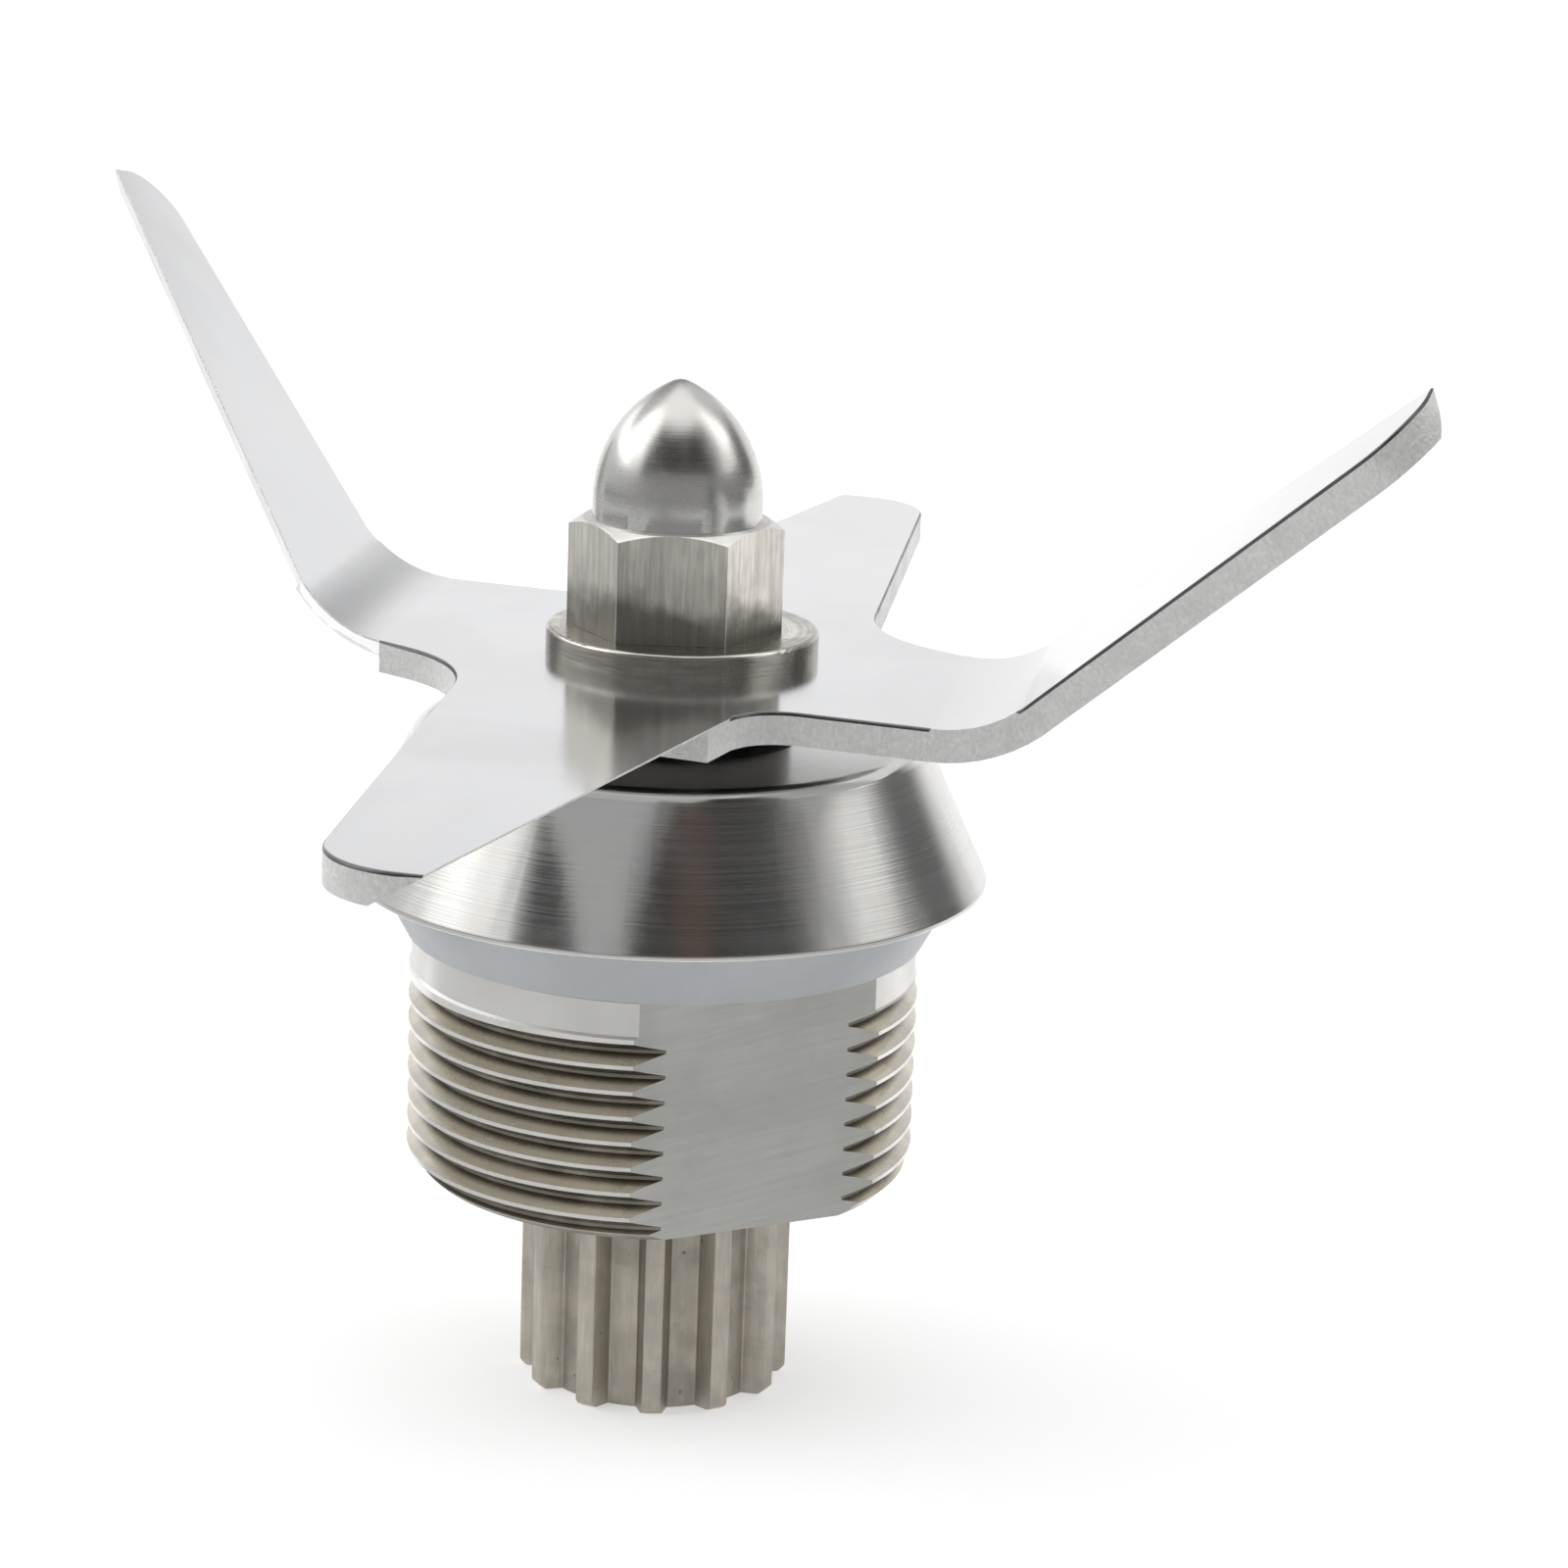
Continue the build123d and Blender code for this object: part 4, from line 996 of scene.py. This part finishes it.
class BLADEUNIT_OT_nut(bpy.types.Operator):
    """Breaks the edges of the cap nut and its washer and gives them their finishes"""

    bl_idname = "blade_unit.nut"
    bl_label = "Cap Nut and Washer"

    def execute(self, context):
        sizes = context.scene.blade_unit_sizes
        colours = context.scene.blade_unit_colours
        self.add_nut(sizes, colours)
        self.add_washer(sizes, colours)
        return {"FINISHED"}

    def add_nut(self, sizes, colours):
        dome = steel(
            "smooth_dome_steel", colours.dome_steel, 0.25, rings=0.0000008, ring_pitch=0.00012,
            patch_size=0.005, patch_depth=0.06, polish_spread=0.03)
        # The nut's sides darken towards the foot: painted shade.
        side = steel(
            "machined_nut_steel", colours.machined_steel, 0.40, grain_along=(0.0, 0.0, 1.0),
            warmth=0.05, lines=0.000006, line_length=0.005, line_width=0.00032, line_shade=0.42,
            pits=0.00004, pit_spacing=0.0008, pit_width=0.22, pit_share=0.35, patch_size=0.003,
            patch_depth=0.12, dirt_and_shade_colour=(0.13, 0.12, 0.10),
            foot=(nut_bottom + NUT_FOOT_SHADE[0], nut_bottom + NUT_FOOT_SHADE[1]))
        # Near-white tone on the chamfer and the eased upright edges: a painted highlight.
        chamfer = steel(
            "chamfer_painted_highlight_steel", colours.chamfer_highlight_steel, 0.50, rings=0.000001, ring_pitch=0.0001,
            patch_size=0.003, patch_depth=0.05)
        shape = merged_copy("cap_nut")
        for face in shape.faces:
            reach = max(math.hypot(vert.co.x, vert.co.y) for vert in face.verts)
            if self.is_side(face, sizes):
                face.material_index = SIDE
            elif face.normal.z > CHAMFER_LEAN and reach > sizes.dome_radius + DOME_MARGIN:
                face.material_index = CHAMFER_AND_EDGE_HIGHLIGHT
            else:
                face.material_index = DOME
        # The eased upright edges of the sides take the chamfer's near-white tone: painted highlight lines.
        for face in ease_edges(shape, sharp_edges(shape), sizes.machined_edge):
            face.normal_update()
            if self.is_side(face, sizes):
                face.material_index = CHAMFER_AND_EDGE_HIGHLIGHT
        finish_piece(shape, "eased_cap_nut", [dome, side, chamfer], "rotor", ["cap_nut"])

    def is_side(self, face, sizes):
        """Whether the face is upright and below the nut's shoulder."""
        height = face.calc_center_median().z - nut_bottom
        return abs(face.normal.z) < UPRIGHT and height < sizes.nut_sides

    def add_washer(self, sizes, colours):
        stamped = steel(
            "stamped_washer_steel", colours.washer_steel, 0.22, warmth=0.08, rings=0.000004,
            ring_pitch=0.00022, ring_shade=0.9, pits=0.00001, pit_spacing=0.0009, pit_width=0.2,
            pit_share=0.2, patch_size=0.003, patch_depth=0.45)
        # The washer's upright rim gets a darker copy of its steel: painted shade.
        shaded_side = steel(
            "washer_side_painted_shade_steel", colours.shaded_washer_side, 0.20, warmth=0.10, rings=0.000004,
            ring_pitch=0.00022, ring_shade=0.9, patch_size=0.003, patch_depth=0.40)
        shape = merged_copy("nut_washer")
        for face in shape.faces:
            # Upright faces take the darker copy: painted shade on the rim.
            face.material_index = SHADED_SIDE if abs(face.normal.z) < UPRIGHT else STAMPED
        ease_edges(shape, sharp_edges(shape), sizes.machined_edge)
        finish_piece(shape, "eased_washer", [stamped, shaded_side], "rotor", ["nut_washer"])


class BLADEUNIT_OT_gear(bpy.types.Operator):
    """Rounds the edges of the sintered drive gear and gives it its grainy finish"""

    bl_idname = "blade_unit.gear"
    bl_label = "Drive Gear"

    def execute(self, context):
        sizes = context.scene.blade_unit_sizes
        colours = context.scene.blade_unit_colours
        # The tooth gaps get a dark, dirty colour that also stands in as painted shade.
        sintered = steel(
            "sintered_gear_steel", colours.sintered_steel, 0.44, grain_along=(0.0, 0.0, 1.0),
            warmth=0.10, lines=0.000006, line_length=0.003, line_width=0.00020, line_shade=0.26,
            pits=0.00004, pit_spacing=0.0008, pit_width=0.24, pit_share=0.30, patch_size=0.0024,
            patch_depth=0.26, dirt_and_shade_colour=(0.25, 0.225, 0.18),
            dirt=(gear_radius * GEAR_DIRT_AND_SHADE[0], gear_radius * GEAR_DIRT_AND_SHADE[1]))
        shape = merged_copy("drive_gear")
        ease_edges(shape, sharp_edges(shape), sizes.gear_edge)
        finish_piece(shape, "sintered_drive_gear", [sintered], "rotor", ["drive_gear"])
        return {"FINISHED"}


class BLADEUNIT_OT_shaft(bpy.types.Operator):
    """Gives the shaft and the spacers their turned finish, and the hub a dark colour as painted shade"""

    bl_idname = "blade_unit.shaft"
    bl_label = "Shaft and Hub"

    def execute(self, context):
        colours = context.scene.blade_unit_colours
        # The hub under the blade is near black: painted shade.
        dark = steel(
            "hub_painted_shade_steel", colours.dark_steel_and_hub_shade, 0.34, rings=0.000002, ring_pitch=0.00015,
            patch_size=0.003, patch_depth=0.3)
        bright = steel(
            "turned_shaft_steel", colours.turned_steel, 0.28, rings=0.000002, ring_pitch=0.00014,
            patch_size=0.004, patch_depth=0.12)
        dress_node("blade_hub", dark)
        for node in ("drive_shaft", "seal_sleeve", "bearing_outer_spacer", "bearing_inner_spacer"):
            dress_node(node, bright)
        return {"FINISHED"}


class BLADEUNIT_OT_bearings(bpy.types.Operator):
    """Gives both ball bearings their polished finish, and the shim, the retaining ring and the garter
    spring a dark sprung finish
    """

    bl_idname = "blade_unit.bearings"
    bl_label = "Bearings and Rings"

    def execute(self, context):
        colours = context.scene.blade_unit_colours
        polished = steel(
            "polished_bearing_steel", colours.bearing_steel, 0.18, warmth=0.03, rings=0.000001,
            ring_pitch=0.0001, patch_size=0.004, patch_depth=0.08, polish_spread=0.04)
        spring = steel(
            "sprung_ring_steel", colours.dark_steel_and_hub_shade, 0.38, warmth=0.06, pits=0.000006,
            pit_spacing=0.0005, pit_width=0.5, pit_share=0.4, patch_size=0.003, patch_depth=0.2)
        for node in sorted(nodes):
            if node.startswith(("lower_bearing", "upper_bearing")):
                dress_node(node, polished)
        for node in ("bearing_shim", "retaining_ring", "seal_garter_spring"):
            dress_node(node, spring)
        return {"FINISHED"}


class BLADEUNIT_OT_seals(bpy.types.Operator):
    """Gives the jar gasket its milky silicone and the shaft seal its black rubber"""

    bl_idname = "blade_unit.seals"
    bl_label = "Gasket and Seal"

    def execute(self, context):
        colours = context.scene.blade_unit_colours
        dress_node("jar_gasket", gasket_material(colours))
        dress_node("shaft_seal", rubber_material(colours))
        return {"FINISHED"}


class BLADEUNIT_PT_panel(bpy.types.Panel):
    """Lists the steps that dress the blade assembly"""

    bl_idname = "BLADEUNIT_PT_panel"
    bl_label = "Blade Assembly"
    bl_space_type = "VIEW_3D"
    bl_region_type = "UI"
    bl_category = "Blade Assembly"

    def draw(self, context):
        layout = self.layout
        for step in STEPS:
            layout.operator(step.bl_idname)
        for group in ("blade_unit_sizes", "blade_unit_colours", "blade_unit_studio"):
            box = layout.box()
            values = getattr(context.scene, group)
            for name in values.__annotations__:
                box.prop(values, name)


STEPS = (
    BLADEUNIT_OT_stage, BLADEUNIT_OT_housing, BLADEUNIT_OT_blade, BLADEUNIT_OT_nut, BLADEUNIT_OT_gear,
    BLADEUNIT_OT_shaft, BLADEUNIT_OT_bearings, BLADEUNIT_OT_seals,
)
CLASSES = (BladeUnitSizes, BladeUnitColours, StudioSettings) + STEPS + (BLADEUNIT_PT_panel,)


def register():
    for item in CLASSES:
        bpy.utils.register_class(item)
    bpy.types.Scene.blade_unit_sizes = bpy.props.PointerProperty(type=BladeUnitSizes)
    bpy.types.Scene.blade_unit_colours = bpy.props.PointerProperty(type=BladeUnitColours)
    bpy.types.Scene.blade_unit_studio = bpy.props.PointerProperty(type=StudioSettings)


def unregister():
    del bpy.types.Scene.blade_unit_studio
    del bpy.types.Scene.blade_unit_colours
    del bpy.types.Scene.blade_unit_sizes
    for item in reversed(CLASSES):
        bpy.utils.unregister_class(item)


def main():
    register()
    bpy.ops.blade_unit.stage()
    bpy.ops.blade_unit.housing()
    bpy.ops.blade_unit.blade()
    bpy.ops.blade_unit.nut()
    bpy.ops.blade_unit.gear()
    bpy.ops.blade_unit.shaft()
    bpy.ops.blade_unit.bearings()
    bpy.ops.blade_unit.seals()


if __name__ == "__main__":
    main()
